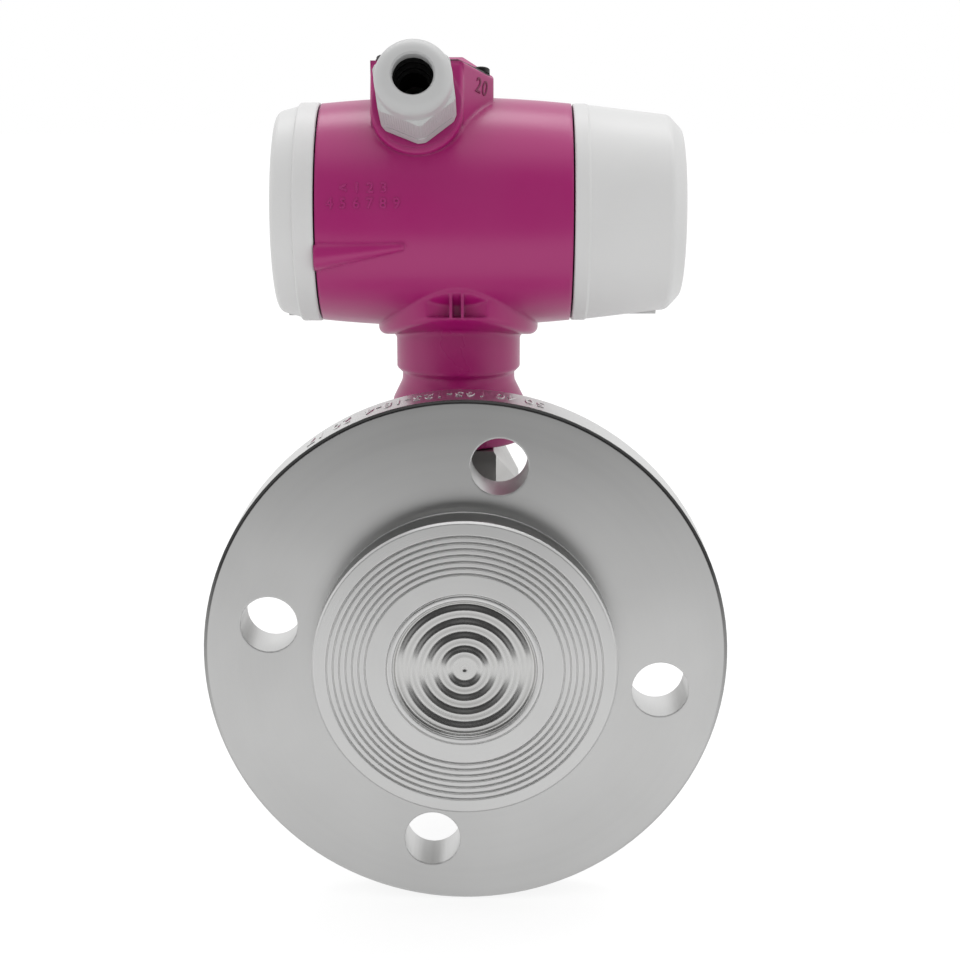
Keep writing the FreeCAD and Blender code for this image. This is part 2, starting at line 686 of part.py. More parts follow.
def barrel():
    """Bulged round body about the barrel axis."""
    left = -TERMINAL_SEAM
    right = ELECTRONICS_SEAM
    start = Vector(BARREL_END_RADIUS, 0, left)
    end = Vector(BARREL_END_RADIUS, 0, right)
    middle = Vector(BARREL_MIDDLE_RADIUS, 0, (left + right) / 2)
    edges = [
        Part.LineSegment(Vector(0, 0, left), start).toShape(),
        Part.Arc(start, middle, end).toShape(),
        Part.LineSegment(end, Vector(0, 0, right)).toShape(),
        Part.LineSegment(Vector(0, 0, right), Vector(0, 0, left)).toShape(),
    ]
    body = Part.Face(Part.Wire(edges)).revolve(Vector(0, 0, 0), UP, 360)
    return placed(body, BARREL_CENTRE, TO_RIGHT)


def roof_level(distance):
    """Height of the entry block's roof at a distance from the neck axis along Y."""
    tilt = math.radians(ENTRY_TILT)
    edge = ENTRY_FACE_OFFSET - EAR_ROOF_HEIGHT * math.sin(tilt)
    top = ENTRY_FACE_Z + EAR_ROOF_HEIGHT * math.cos(tilt)
    return top - (edge - abs(distance)) * math.tan(tilt)


def ear(side):
    """Arch-shaped entry ear: round below, straight walls and a flat roof above."""
    low_left = Vector(-EAR_RADIUS, -EAR_DROP, 0)
    low_right = Vector(EAR_RADIUS, -EAR_DROP, 0)
    high_left = Vector(-EAR_RADIUS, EAR_ROOF_HEIGHT, 0)
    high_right = Vector(EAR_RADIUS, EAR_ROOF_HEIGHT, 0)
    face = Part.Wire(
        [
            Part.Arc(low_left, Vector(0, -EAR_DROP - EAR_RADIUS, 0), low_right).toShape(),
            Part.LineSegment(low_right, high_right).toShape(),
            Part.LineSegment(high_right, high_left).toShape(),
            Part.LineSegment(high_left, low_left).toShape(),
        ]
    )
    arch = Part.Face(face)
    arch.rotate(Vector(0, 0, 0), UP, 0 if side < 0 else 180)
    body = arch.extrude(-UP * EAR_LENGTH)
    rounded = [edge for edge in body.Edges if all(abs(v.Z) < 1e-6 for v in edge.Vertexes)]
    rounded += [edge for edge in body.Edges if is_roof_corner(edge)]
    body = body.makeFillet(EAR_EDGE_ROUND, rounded)
    ring = rod(EAR_RING_RADIUS, Vector(0, 0, -EMBED), UP, EAR_RING_HEIGHT + EMBED)
    return on_entry(fused([body, ring]), side)


def is_roof_corner(edge):
    """True for the two long edges where the ear's roof meets its side walls."""
    ends = [vertex.Point for vertex in edge.Vertexes]
    if len(ends) != 2 or abs(ends[0].z - ends[1].z) < 1e-6:
        return False
    return all(abs(abs(end.y) - EAR_ROOF_HEIGHT) < 1e-6 for end in ends)


def saddle():
    """Block between the two ears, with a roof that dips to the middle and a bevelled right end."""
    tilt = math.radians(ENTRY_TILT)
    edge_y = ENTRY_FACE_OFFSET - EAR_ROOF_HEIGHT * math.sin(tilt)
    left = ENTRY_X - EAR_RADIUS
    right = ENTRY_X + EAR_RADIUS
    outline = [
        (left, -edge_y),
        (right, -edge_y),
        (SADDLE_REACH, -SADDLE_HALF_DEPTH),
        (SADDLE_REACH, SADDLE_HALF_DEPTH),
        (right, edge_y),
        (left, edge_y),
    ]
    points = [Vector(x, y, SADDLE_LOW_Z) for x, y in outline]
    height = roof_level(edge_y) - SADDLE_LOW_Z
    body = slab(points, UP * height)
    upright = [edge for edge in body.Edges if is_bevel_corner(edge)]
    body = body.makeFillet(EAR_EDGE_ROUND, upright)
    for side in (-1, 1):
        low = Vector(left * 2, 0, roof_level(0))
        high = Vector(left * 2, side * edge_y * 2, roof_level(edge_y * 2))
        peak = Vector(left * 2, 0, roof_level(edge_y * 2))
        body = body.cut(slab([low, high, peak], TO_RIGHT * (SADDLE_REACH - left) * 3))
    top_edges = []
    for edge in body.Edges:
        if is_roof_edge(edge):
            top_edges.append(edge)
    body = body.makeFillet(EAR_EDGE_ROUND * 0.6, top_edges)
    body.translate(NECK_AXIS)
    return body


def is_bevel_corner(edge):
    """True for upright edges at the right end of the saddle block."""
    ends = [vertex.Point for vertex in edge.Vertexes]
    upright = abs(ends[0].x - ends[1].x) + abs(ends[0].y - ends[1].y) < 1e-6
    return upright and ends[0].x > SADDLE_REACH - 1e-6


def is_roof_edge(edge):
    """True for the saddle's roof edges on its right end and bevels."""
    for vertex in edge.Vertexes:
        if abs(vertex.Z - roof_level(vertex.Y)) > 1e-6:
            return False
        if vertex.X < ENTRY_X + EAR_RADIUS - 1e-6:
            return False
    return True


def neck():
    """Turned-looking neck of the casting with waist and flared base."""
    shoulder = NECK_RADIUS - NECK_WAIST_RADIUS
    corners = [
        (0, NECK_BASE_Z, 0),
        (NECK_BASE_RADIUS, NECK_BASE_Z, 0.8),
        (NECK_BASE_RADIUS, NECK_BASE_TOP_Z, 3.0),
        (NECK_WAIST_RADIUS, NECK_WAIST_Z, NECK_WAIST_ROUND),
        (NECK_WAIST_RADIUS, NECK_SHOULDER_Z - shoulder, 0.6),
        (NECK_RADIUS, NECK_SHOULDER_Z, 0.8),
        (NECK_RADIUS, BARREL_Z - COMPARTMENT_RADIUS, 0),
        (0, BARREL_Z - COMPARTMENT_RADIUS, 0),
    ]
    return placed(turned(corners), NECK_AXIS, UP)


def neck_pad():
    """Oval pad under the barrel that the neck grows from, with a rounded lower edge."""
    ellipse = Part.Ellipse(Vector(0, 0, 0), PAD_HALF_DEPTH, PAD_HALF_WIDTH)
    face = Part.Face(Part.Wire(ellipse.toShape()))
    face.rotate(Vector(0, 0, 0), UP, 90)
    column = face.extrude(UP * (BARREL_Z - NECK_SHOULDER_Z))
    column.translate(NECK_AXIS + UP * NECK_SHOULDER_Z)
    start = NECK_AXIS + UP * (PAD_LOW_Z + PAD_RADIUS) + TO_LEFT * PAD_HALF_WIDTH * 2
    pad = column.common(rod(PAD_RADIUS, start, TO_RIGHT, PAD_HALF_WIDTH * 4))
    lower = [edge for edge in pad.Edges if edge.BoundBox.ZMax < BARREL_Z - EMBED and edge.BoundBox.XLength > 1]
    pad = pad.makeFillet(PAD_EDGE_ROUND, lower)
    for side in (-1, 1):
        pad = pad.cut(neck_pocket(side))
    return pad


def is_neck_root(edge):
    """True for the line where the neck runs into the pad."""
    middle = edge.valueAt((edge.FirstParameter + edge.LastParameter) / 2)
    reach = math.hypot(middle.x - NECK_X, middle.y - NECK_Y)
    return abs(reach - NECK_RADIUS) < SEAL_GAP and middle.z > NECK_SHOULDER_Z + NECK_ROOT_ROUND


def rooted_neck():
    """Neck and pad in one, with a fillet between them."""
    body = fused([neck_pad(), neck()])
    return body.makeFillet(NECK_ROOT_ROUND, [edge for edge in body.Edges if is_neck_root(edge)])


def neck_pocket(side):
    """Scooped relief in the pad's front or rear, with two ribs left standing."""
    deepest = NECK_AXIS + TO_REAR * side * (PAD_HALF_DEPTH - POCKET_DEPTH)
    axis = deepest + TO_REAR * side * POCKET_RADIUS + UP * POCKET_LOW_Z
    scoop = rod(POCKET_RADIUS, axis, UP, BARREL_Z - POCKET_LOW_Z)
    barrel_start = BARREL_CENTRE + TO_LEFT * POCKET_RADIUS * 2
    scoop = scoop.cut(rod(POCKET_RIM_RADIUS, barrel_start, TO_RIGHT, POCKET_RADIUS * 4))
    for rib_side in (-1, 1):
        middle = rib_side * POCKET_RIB_SPACING / 2
        half = POCKET_RIB_THICKNESS / 2
        low = axis + Vector(middle - half, -POCKET_RADIUS, 0)
        high = axis + Vector(middle + half, POCKET_RADIUS, BARREL_Z)
        scoop = scoop.cut(box(low, high))
    return scoop


def lock_direction():
    """Outward direction of the neck's locking screw."""
    angle = math.radians(LOCK_SCREW_ANGLE)
    return Vector(math.sin(angle), -math.cos(angle), 0)


def lock_lug():
    """Small round lug on the neck base that holds the locking screw."""
    start = NECK_AXIS + UP * LOCK_GROOVE_Z
    return rod(LOCK_LUG_RADIUS, start, lock_direction(), NECK_BASE_RADIUS + LOCK_LUG_REACH)


def cover_lock_point(side, offset, below=COVER_LOCK_ANGLE):
    """Point on a cover's seam plane, offset from the barrel axis at an angle below level."""
    angle = math.radians(below)
    seam = -TERMINAL_SEAM if side < 0 else ELECTRONICS_SEAM
    return BARREL_CENTRE + Vector(seam, side * offset * math.cos(angle), -offset * math.sin(angle))


def cover_lock_boss(side):
    """Teardrop boss that overhangs a cover's gap and tapers away over the barrel."""
    inward = TO_LEFT * side
    start = cover_lock_point(side, COVER_LOCK_BOSS_OFFSET) - inward * COVER_GAP
    tip = cover_lock_point(side, COVER_LOCK_TIP_OFFSET, COVER_LOCK_TIP_ANGLE) + inward * COVER_LOCK_BOSS_LENGTH
    ends = []
    for centre, radius in ((start, COVER_LOCK_BOSS_RADIUS), (tip, COVER_LOCK_BOSS_TIP)):
        ends.append(Part.Wire(Part.Circle(centre, TO_RIGHT, radius).toShape()))
    boss = fused([Part.makeLoft(ends, True), Part.makeSphere(COVER_LOCK_BOSS_TIP, tip)])
    seam = BARREL_CENTRE - inward * (TERMINAL_SEAM if side < 0 else ELECTRONICS_SEAM)
    return boss.cut(rod(RIM_RADIUS + FACE_GAP, seam, -inward, COVER_LOCK_BOSS_LENGTH))


def cover_lock_hole(side):
    """Tapped hole of a cover lock."""
    inward = TO_LEFT * side
    start = cover_lock_point(side, COVER_LOCK_SCREW_OFFSET) - inward * 2 * COVER_GAP
    length = COVER_LOCK_SCREW_LENGTH + 2 * (FACE_GAP + COVER_GAP)
    return rod(COVER_LOCK_SCREW_RADIUS, start, inward, length)


def cover_lock_screws():
    """Socket set screws in the two cover lock bosses."""
    screws = []
    for side in (-1, 1):
        inward = TO_LEFT * side
        start = cover_lock_point(side, COVER_LOCK_SCREW_OFFSET) + inward * FACE_GAP
        body = rod(COVER_LOCK_SCREW_RADIUS, start, inward, COVER_LOCK_SCREW_LENGTH)
        socket = hexagon(COVER_LOCK_SCREW_RADIUS, 0, COVER_LOCK_SCREW_RADIUS)
        screws.append(body.cut(placed(socket, start, inward)))
    return screws


def ground_boss():
    """Round boss at the back of the barrel for the outer earth screw."""
    start = Vector(NECK_X + GROUND_X, NECK_Y, BARREL_Z - GROUND_DROP)
    return rod(GROUND_BOSS_RADIUS, start, TO_REAR, GROUND_BOSS_REACH)


def ground_seat():
    """Point where the outer earth clamp lies on its boss."""
    return Vector(NECK_X + GROUND_X, NECK_Y + GROUND_BOSS_REACH, BARREL_Z - GROUND_DROP)


def compartment(side):
    """Round room behind a cover with its threaded mouth and ring seat."""
    if side < 0:
        seam, floor, outward = -TERMINAL_SEAM, -PARTITION_FACE - PARTITION_THICKNESS, TO_LEFT
    else:
        seam, floor, outward = ELECTRONICS_SEAM, -PARTITION_FACE, TO_RIGHT
    mouth = BARREL_CENTRE + TO_RIGHT * seam
    room = rod(COMPARTMENT_RADIUS, mouth, -outward, abs(seam - floor))
    thread = rod(THREAD_RADIUS, mouth, -outward, THREAD_DEPTH)
    seat_radius = COVER_RING_INNER + COVER_RING_SECTION + SEAL_GAP
    seat = rod(seat_radius, mouth, -outward, COVER_RING_SEAT_DEPTH)
    return fused([room, thread, seat])


def housing():
    """Die-cast housing: barrel, entry ears, neck and bosses, with two rooms inside."""
    parts = [barrel(), saddle(), ear(-1), ear(1), rooted_neck(), lock_lug(), ground_boss()]
    parts += [cover_lock_boss(-1), cover_lock_boss(1)]
    body = fused(parts)
    for side in (-1, 1):
        body = body.cut(compartment(side))
        start = entry_origin(side) + entry_axis(side) * (EAR_RING_HEIGHT + 1)
        depth = ENTRY_DEPTH + EAR_RING_HEIGHT + 1
        body = body.cut(rod(ENTRY_RADIUS, start, -entry_axis(side), depth))
        body = body.cut(cover_lock_hole(side))
    bore_start = NECK_AXIS + UP * (NECK_BASE_Z - 1)
    body = body.cut(rod(NECK_BORE_RADIUS, bore_start, UP, NECK_BORE_TOP_Z - NECK_BASE_Z + 1))
    passage_x = WIRE_PASSAGE_RADIUS + FACE_GAP
    passage_start = NECK_AXIS + Vector(passage_x, 0, NECK_BORE_TOP_Z - EMBED)
    body = body.cut(rod(WIRE_PASSAGE_RADIUS, passage_start, UP, BARREL_Z - NECK_BORE_TOP_Z - MODULE_RADIUS / 2))
    lock_start = NECK_AXIS + UP * LOCK_GROOVE_Z
    body = body.cut(rod(LOCK_SCREW_RADIUS, lock_start, lock_direction(), NECK_BASE_RADIUS * 2))
    body = body.cut(rod(PARTITION_PLUG_RADIUS, partition_plug_start(), TO_RIGHT, PARTITION_THICKNESS))
    inner_base = inner_ground_seat() + TO_RIGHT * (INNER_GROUND_BOSS_HEIGHT + EMBED)
    inner_boss = rod(INNER_GROUND_BOSS_RADIUS, inner_base, TO_LEFT, INNER_GROUND_BOSS_HEIGHT + EMBED)
    body = fused([body, inner_boss])
    body = body.cut(rod(GROUND_SCREW_RADIUS, inner_ground_seat(), TO_RIGHT, SMALL_SCREW_LENGTH))
    body = body.cut(rod(GROUND_SCREW_RADIUS, ground_seat(), TO_PROCESS, SMALL_SCREW_LENGTH))
    for x, y in plate_screw_places():
        seat = roof_point(x, y)
        body = body.cut(placed(rod(SMALL_SCREW_RADIUS, Vector(0, 0, 0), -UP, SMALL_SCREW_LENGTH), seat, roof_normal()))
    return body


def neck_lock_screw():
    """Set screw that holds the housing at its angle on the spigot groove."""
    tip = SPIGOT_RADIUS - LOCK_GROOVE_DEPTH + FACE_GAP
    length = NECK_BASE_RADIUS + LOCK_LUG_REACH - FACE_GAP - tip
    start = NECK_AXIS + UP * LOCK_GROOVE_Z + lock_direction() * tip
    body = rod(LOCK_SCREW_RADIUS, start, lock_direction(), length)
    socket = hexagon(LOCK_SCREW_RADIUS, length - LOCK_SCREW_RADIUS, length + 1)
    return body.cut(placed(socket, start, lock_direction()))


# ================================================================ covers
def cover_shell(outline, length, end_wall_radius):
    """Screw cover about local Z: skirt below 0, cap above, hollow inside."""
    inner = SKIRT_RADIUS - SKIRT_WALL
    corners = [(inner, -SKIRT_LENGTH, 0), (SKIRT_RADIUS, -SKIRT_LENGTH, 0), (SKIRT_RADIUS, 0, 0)]
    corners += outline
    corners += [
        (0, length, 0),
        (0, length - COVER_WALL, 0),
        (end_wall_radius - COVER_WALL, length - COVER_WALL, 1.0),
    ]
    return turned(corners)


def cover_lug(radius, start, end):
    """Low lug on a cover's underside, about the cover's own axis."""
    return box(
        Vector(-LUG_HALF_WIDTH, radius - LUG_HEIGHT * 3, start),
        Vector(LUG_HALF_WIDTH, radius + LUG_HEIGHT, end),
    )


def terminal_cover():
    """Short cover of the field terminal side."""
    outline = [
        (RIM_RADIUS, 0, RIM_ROUND),
        (RIM_RADIUS, RIM_LENGTH, RIM_ROUND),
        (TERMINAL_CAP_RADIUS, RIM_LENGTH, 0),
        (TERMINAL_CAP_END_RADIUS, TERMINAL_COVER_LENGTH, TERMINAL_CAP_ROUND),
    ]
    shell = cover_shell(outline, TERMINAL_COVER_LENGTH, SKIRT_RADIUS - SKIRT_WALL + COVER_WALL)
    lug = cover_lug(TERMINAL_CAP_END_RADIUS, RIM_LENGTH - EMBED, TERMINAL_COVER_LENGTH - TERMINAL_CAP_ROUND)
    origin = BARREL_CENTRE + TO_LEFT * (TERMINAL_SEAM + COVER_GAP)
    return lug_down(fused([shell, lug]), origin, TO_LEFT)


def electronics_cover():
    """Deep tapered cover of the electronics side."""
    outline = [
        (ELECTRONICS_RIM_RADIUS, 0, RIM_ROUND),
        (ELECTRONICS_RIM_RADIUS, ELECTRONICS_RIM_LENGTH, 0.3),
        (ELECTRONICS_CAP_RADIUS, ELECTRONICS_RIM_LENGTH + RIM_ROUND, 0),
        (ELECTRONICS_TAPER_RADIUS, ELECTRONICS_TAPER_END, ELECTRONICS_CAP_ROUND),
        (ELECTRONICS_END_RADIUS, ELECTRONICS_COVER_LENGTH, ELECTRONICS_CAP_ROUND),
    ]
    shell = cover_shell(outline, ELECTRONICS_COVER_LENGTH, ELECTRONICS_END_RADIUS)
    lug = cover_lug(
        ELECTRONICS_TAPER_RADIUS,
        ELECTRONICS_RIM_LENGTH + RIM_LENGTH,
        ELECTRONICS_TAPER_END - ELECTRONICS_CAP_ROUND,
    )
    origin = BARREL_CENTRE + TO_RIGHT * (ELECTRONICS_SEAM + COVER_GAP)
    return lug_down(fused([shell, lug]), origin, TO_RIGHT)


def lug_down(shape, origin, direction):
    """Carries a cover to its seam with its local +Y side turned to the bottom."""
    moved = shape.copy()
    x_axis = (-UP).cross(direction)
    moved.Placement = FreeCAD.Placement(origin, Rotation(x_axis, -UP, direction, "ZXY"))
    return moved


def cover_ring(side):
    """Rubber ring between a cover and the housing's mouth."""
    seam = -TERMINAL_SEAM - COVER_GAP if side < 0 else ELECTRONICS_SEAM + COVER_GAP
    inward = 1 if side < 0 else -1
    offset = seam + inward * (COVER_RING_SECTION / 2 + SEAL_GAP)
    return rubber_ring(COVER_RING_INNER, COVER_RING_SECTION, BARREL_CENTRE + TO_RIGHT * offset, TO_RIGHT)


# ================================================================ cable gland and plug
def gland_base():
    """Distance of the gland's shoulder from the entry's sealing face."""
    return EAR_RING_HEIGHT + GLAND_RING_SECTION * 0.25


def gland_body():
    """Gland body: threaded stub, hexagon and the slotted-looking neck inside the nut."""
    base = gland_base()
    hexagon_end = base + BODY_HEX_LENGTH
    stub_corners = [
        (GLAND_BORE_RADIUS - 1, -STUB_LENGTH, 0),
        (ENTRY_RADIUS - SEAL_GAP, -STUB_LENGTH, 0.6),
        (ENTRY_RADIUS - SEAL_GAP, base + EMBED, 0),
        (GLAND_NECK_RADIUS, base + EMBED, 0),
        (GLAND_NECK_RADIUS, GLAND_NECK_END, 0.5),
        (GLAND_BORE_RADIUS, GLAND_NECK_END, 0),
        (GLAND_BORE_RADIUS, base, 0),
        (GLAND_BORE_RADIUS - 1, base, 0),
    ]
    flats = hexagon(BODY_FLATS, base, hexagon_end, NUT_TURN)
    limit = turned(
        [
            (GLAND_BORE_RADIUS, base, 0),
            (BODY_FLATS / 2 + 1.2, base, 0.4),
            (BODY_FLATS / 2 + 1.2, hexagon_end, 0.4),
            (GLAND_BORE_RADIUS, hexagon_end, 0),
        ]
    )
    seat = tube(
        ENTRY_RADIUS + GLAND_RING_SECTION + SEAL_GAP,
        ENTRY_RADIUS - SEAL_GAP,
        Vector(0, 0, base),
        UP,
        GLAND_RING_SECTION * 0.75,
    )
    return on_entry(fused([flats.common(limit).cut(seat), turned(stub_corners)]), -1)


def gland_oring():
    """Ring that seals the gland's hexagon on the entry face."""
    centre = entry_origin(-1) + entry_axis(-1) * (EAR_RING_HEIGHT + GLAND_RING_SECTION / 2)
    return rubber_ring(ENTRY_RADIUS, GLAND_RING_SECTION, centre, entry_axis(-1))


def gland_nut():
    """Domed hexagon nut of the cable gland."""
    flats = hexagon(NUT_FLATS, NUT_START, NUT_LENGTH_END, NUT_TURN)
    nose = NUT_FLATS / 2 + 0.05
    envelope = turned(
        [
            (0, NUT_START, 0),
            (NUT_FLATS / 2 + 1.4, NUT_START, 0.8),
            (NUT_FLATS / 2 + 1.4, NUT_HEX_END - 1.4, 0),
            (nose, NUT_HEX_END, 0),
            (nose, NUT_LENGTH_END, NUT_NOSE_ROUND),
            (0, NUT_LENGTH_END, 0),
        ]
    )
    seat = GLAND_NECK_END + FACE_GAP + SLIP_RING_THICKNESS + FACE_GAP
    hollow = turned(
        [
            (0, NUT_START, 0),
            (NUT_BORE_RADIUS, NUT_START, 0),
            (NUT_BORE_RADIUS, seat, 0),
            (NUT_OPENING_RADIUS, seat + NUT_BORE_RADIUS - NUT_OPENING_RADIUS, 0),
            (NUT_OPENING_RADIUS, NUT_LENGTH_END - 0.8, 0),
            (NUT_OPENING_RADIUS + 0.5, NUT_LENGTH_END, 0),
            (0, NUT_LENGTH_END, 0),
        ]
    )
    nut = flats.common(envelope).cut(hollow)
    return on_entry(nut, -1)


def gland_seal():
    """Rubber insert that grips the cable inside the gland."""
    end = GLAND_NECK_END - FACE_GAP
    start = end - SEAL_INSERT_LENGTH + FACE_GAP
    corners = [
        (CABLE_BORE_RADIUS, start, 0),
        (GLAND_BORE_RADIUS, start, 0),
        (GLAND_BORE_RADIUS, end, 0),
        (CABLE_BORE_RADIUS + 2.0, end, 0),
        (CABLE_BORE_RADIUS + 2.0, end - 1.2, 0),
        (CABLE_BORE_RADIUS + 0.9, end - 1.2, 0),
        (CABLE_BORE_RADIUS + 0.9, end - 3.0, 0),
        (CABLE_BORE_RADIUS, end - 3.0, 0),
    ]
    return on_entry(turned(corners), -1)


def slip_ring():
    """Thin ring between the gland nut and the neck, so that the rubber isn't twisted."""
    start = entry_origin(-1) + entry_axis(-1) * (GLAND_NECK_END + FACE_GAP)
    outer = NUT_BORE_RADIUS - FACE_GAP
    return tube(outer, NUT_OPENING_RADIUS, start, entry_axis(-1), SLIP_RING_THICKNESS)


def blind_plug():
    """Screw plug that closes the rear cable entry."""
    base = gland_base()
    corners = [
        (0, -STUB_LENGTH, 0),
        (ENTRY_RADIUS - RUNNING_GAP, -STUB_LENGTH, 0.6),
        (ENTRY_RADIUS - RUNNING_GAP, base + GLAND_RING_SECTION * 0.75, 0),
        (ENTRY_RADIUS + GLAND_RING_SECTION + SEAL_GAP, base + GLAND_RING_SECTION * 0.75, 0),
        (ENTRY_RADIUS + GLAND_RING_SECTION + SEAL_GAP, base, 0),
        (PLUG_HEAD_RADIUS, base, 0),
        (PLUG_HEAD_RADIUS, base + PLUG_HEAD_HEIGHT, 0.9),
        (0, base + PLUG_HEAD_HEIGHT, 0),
    ]
    top = base + PLUG_HEAD_HEIGHT
    socket = hexagon(PLUG_SOCKET_FLATS, top - PLUG_SOCKET_DEPTH, top + 1)
    return on_entry(turned(corners).cut(socket), 1)


def blind_plug_oring():
    """Ring under the blind plug's head."""
    centre = entry_origin(1) + entry_axis(1) * (EAR_RING_HEIGHT + GLAND_RING_SECTION / 2)
    return rubber_ring(ENTRY_RADIUS, GLAND_RING_SECTION, centre, entry_axis(1))


# ================================================================ nameplate
def roof_normal():
    """Upward normal of the front ear's roof."""
    tilt = math.radians(ENTRY_TILT)
    return Vector(0, math.sin(tilt), math.cos(tilt))


def roof_point(x, y):
    """Point on the front half of the roof, x and y from the neck axis."""
    return NECK_AXIS + Vector(x, y, roof_level(y))


def plate_outline():
    """Corners of the nameplate on the roof, inset from the roof's own edges."""
    tilt = math.radians(ENTRY_TILT)
    front = -(ENTRY_FACE_OFFSET - EAR_ROOF_HEIGHT * math.sin(tilt)) + PLATE_INSET
    left = ENTRY_X - EAR_RADIUS + EAR_EDGE_ROUND
    right = ENTRY_X + EAR_RADIUS - EAR_EDGE_ROUND
    return [
        (left, front),
        (right, front),
        (SADDLE_REACH - PLATE_INSET, -SADDLE_HALF_DEPTH),
        (SADDLE_REACH - PLATE_INSET, -PLATE_INSET),
        (left, -PLATE_INSET),
    ]


def plate_screw_places():
    """Screw centres of the nameplate, x and y from the neck axis."""
    outline = plate_outline()
    inset = SMALL_HEAD_RADIUS
    return [
        (outline[0][0] + inset, outline[0][1] + inset),
        (outline[2][0] - inset, outline[2][1]),
    ]


def nameplate():
    """Blank plate on the sloping roof in front of the saddle's valley."""
    points = [roof_point(x, y) for x, y in plate_outline()]
    plate = slab(points, roof_normal() * PLATE_THICKNESS)
    for x, y in plate_screw_places():
        plate = plate.cut(rod(SMALL_SCREW_RADIUS, roof_point(x, y), roof_normal(), PLATE_THICKNESS))
    return plate


def nameplate_screws():
    """Black cheese-head screws of the nameplate."""
    screw = slotted_screw(SMALL_HEAD_RADIUS, SMALL_HEAD_HEIGHT, SMALL_SCREW_RADIUS, SMALL_SCREW_LENGTH - FACE_GAP)
    shapes = []
    for x, y in plate_screw_places():
        seat = roof_point(x, y) + roof_normal() * PLATE_THICKNESS
        shapes.append(placed(screw, seat, roof_normal()))
    return shapes


# ================================================================ terminal side
def terminal_face():
    """X of the partition's face towards the terminals."""
    return NECK_X - PARTITION_FACE - PARTITION_THICKNESS


def terminal_places():
    """Centres of the terminals on the block, in Y and Z."""
    first = -(TERMINAL_COUNT - 1) / 2
    places = []
    for step in range(TERMINAL_COUNT):
        places.append((NECK_Y + (first + step) * TERMINAL_STEP, BARREL_Z))
    return places


def terminal_block():
    """Moulded block with one open cell per terminal."""
    start = Vector(terminal_face(), NECK_Y, BARREL_Z)
    body = rod(TERMINAL_BLOCK_RADIUS, start, TO_LEFT, TERMINAL_BLOCK_THICKNESS)
    top = box(
        start + Vector(-TERMINAL_BLOCK_THICKNESS - 1, -TERMINAL_BLOCK_RADIUS, TERMINAL_BLOCK_TOP),
        start + Vector(1, TERMINAL_BLOCK_RADIUS, TERMINAL_BLOCK_RADIUS),
    )
    body = body.cut(top)
    front = terminal_face() - TERMINAL_BLOCK_THICKNESS
    half = TERMINAL_PLATE_SIZE / 2 + FACE_GAP
    for y, z in terminal_places():
        cell = box(Vector(front - 1, y - half, z - half), Vector(front + half, y + half, z + TERMINAL_BLOCK_TOP + 1))
        body = body.cut(cell)
        floor = Vector(front + half, y, z)
        body = body.cut(rod(TERMINAL_SCREW_RADIUS, floor, TO_RIGHT, TERMINAL_SCREW_LENGTH - half))
    for y, z in block_screw_places():
        body = body.cut(rod(SMALL_SCREW_RADIUS, Vector(front, y, z), TO_RIGHT, SMALL_SCREW_LENGTH))
    return body


def terminal_plates():
    """Square clamping plates, one in each terminal cell."""
    floor = terminal_face() - TERMINAL_BLOCK_THICKNESS + TERMINAL_PLATE_SIZE / 2 + FACE_GAP
    half = TERMINAL_PLATE_SIZE / 2
    shapes = []
    for y, z in terminal_places():
        plate = box(
            Vector(floor - TERMINAL_PLATE_THICKNESS, y - half, z - half), Vector(floor, y + half, z + half)
        )
        hole = rod(TERMINAL_SCREW_RADIUS, Vector(floor, y, z), TO_LEFT, TERMINAL_PLATE_THICKNESS)
        shapes.append(plate.cut(hole))
    return shapes


def terminal_screws():
    """Clamping screws of the terminals."""
    floor = terminal_face() - TERMINAL_BLOCK_THICKNESS + TERMINAL_PLATE_SIZE / 2 + FACE_GAP
    shank = TERMINAL_SCREW_LENGTH - TERMINAL_PLATE_SIZE / 2 - FACE_GAP
    screw = slotted_screw(
        TERMINAL_PLATE_SIZE / 2, SMALL_HEAD_HEIGHT, TERMINAL_SCREW_RADIUS, shank + TERMINAL_PLATE_THICKNESS - FACE_GAP
    )
    shapes = []
    for y, z in terminal_places():
        shapes.append(placed(screw, Vector(floor - TERMINAL_PLATE_THICKNESS, y, z), TO_LEFT))
    return shapes


def block_screw_places():
    """Fixing screws of the terminal block, in Y and Z."""
    drop = TERMINAL_BLOCK_RADIUS * 0.55
    return [(NECK_Y + side * TERMINAL_STEP, BARREL_Z - drop) for side in (-1, 1)]


def terminal_block_screws():
    """Two screws that hold the terminal block."""
    front = terminal_face() - TERMINAL_BLOCK_THICKNESS
    screw = slotted_screw(SMALL_HEAD_RADIUS, SMALL_HEAD_HEIGHT, SMALL_SCREW_RADIUS, SMALL_SCREW_LENGTH)
    return [placed(screw, Vector(front, y, z), TO_LEFT) for y, z in block_screw_places()]


def partition_plug_start():
    """Left end of the sealed feedthrough in the partition."""
    return Vector(terminal_face(), NECK_Y, BARREL_Z + PARTITION_PLUG_HEIGHT)


def feedthrough():
    """Sealed wire feedthrough between the two rooms."""
    return rod(PARTITION_PLUG_RADIUS, partition_plug_start(), TO_RIGHT, PARTITION_THICKNESS)


# ================================================================ electronics side
def module_face():
    """X of the partition's face towards the electronics."""
    return NECK_X - PARTITION_FACE


def electronics_module():
    """Potted round electronics insert."""
    corners = [
        (0, 0, 0),
        (MODULE_RADIUS, 0, MODULE_EDGE_ROUND),
        (MODULE_RADIUS, MODULE_LENGTH, MODULE_EDGE_ROUND),
        (0, MODULE_LENGTH, 0),
    ]
    body = placed(turned(corners), Vector(module_face(), NECK_Y, BARREL_Z), TO_RIGHT)
    for y, z in board_screw_places():
        start = Vector(module_face() + MODULE_LENGTH, y, z)
        body = body.cut(rod(SMALL_SCREW_RADIUS, start, TO_LEFT, SMALL_SCREW_LENGTH - BOARD_THICKNESS))
    return body


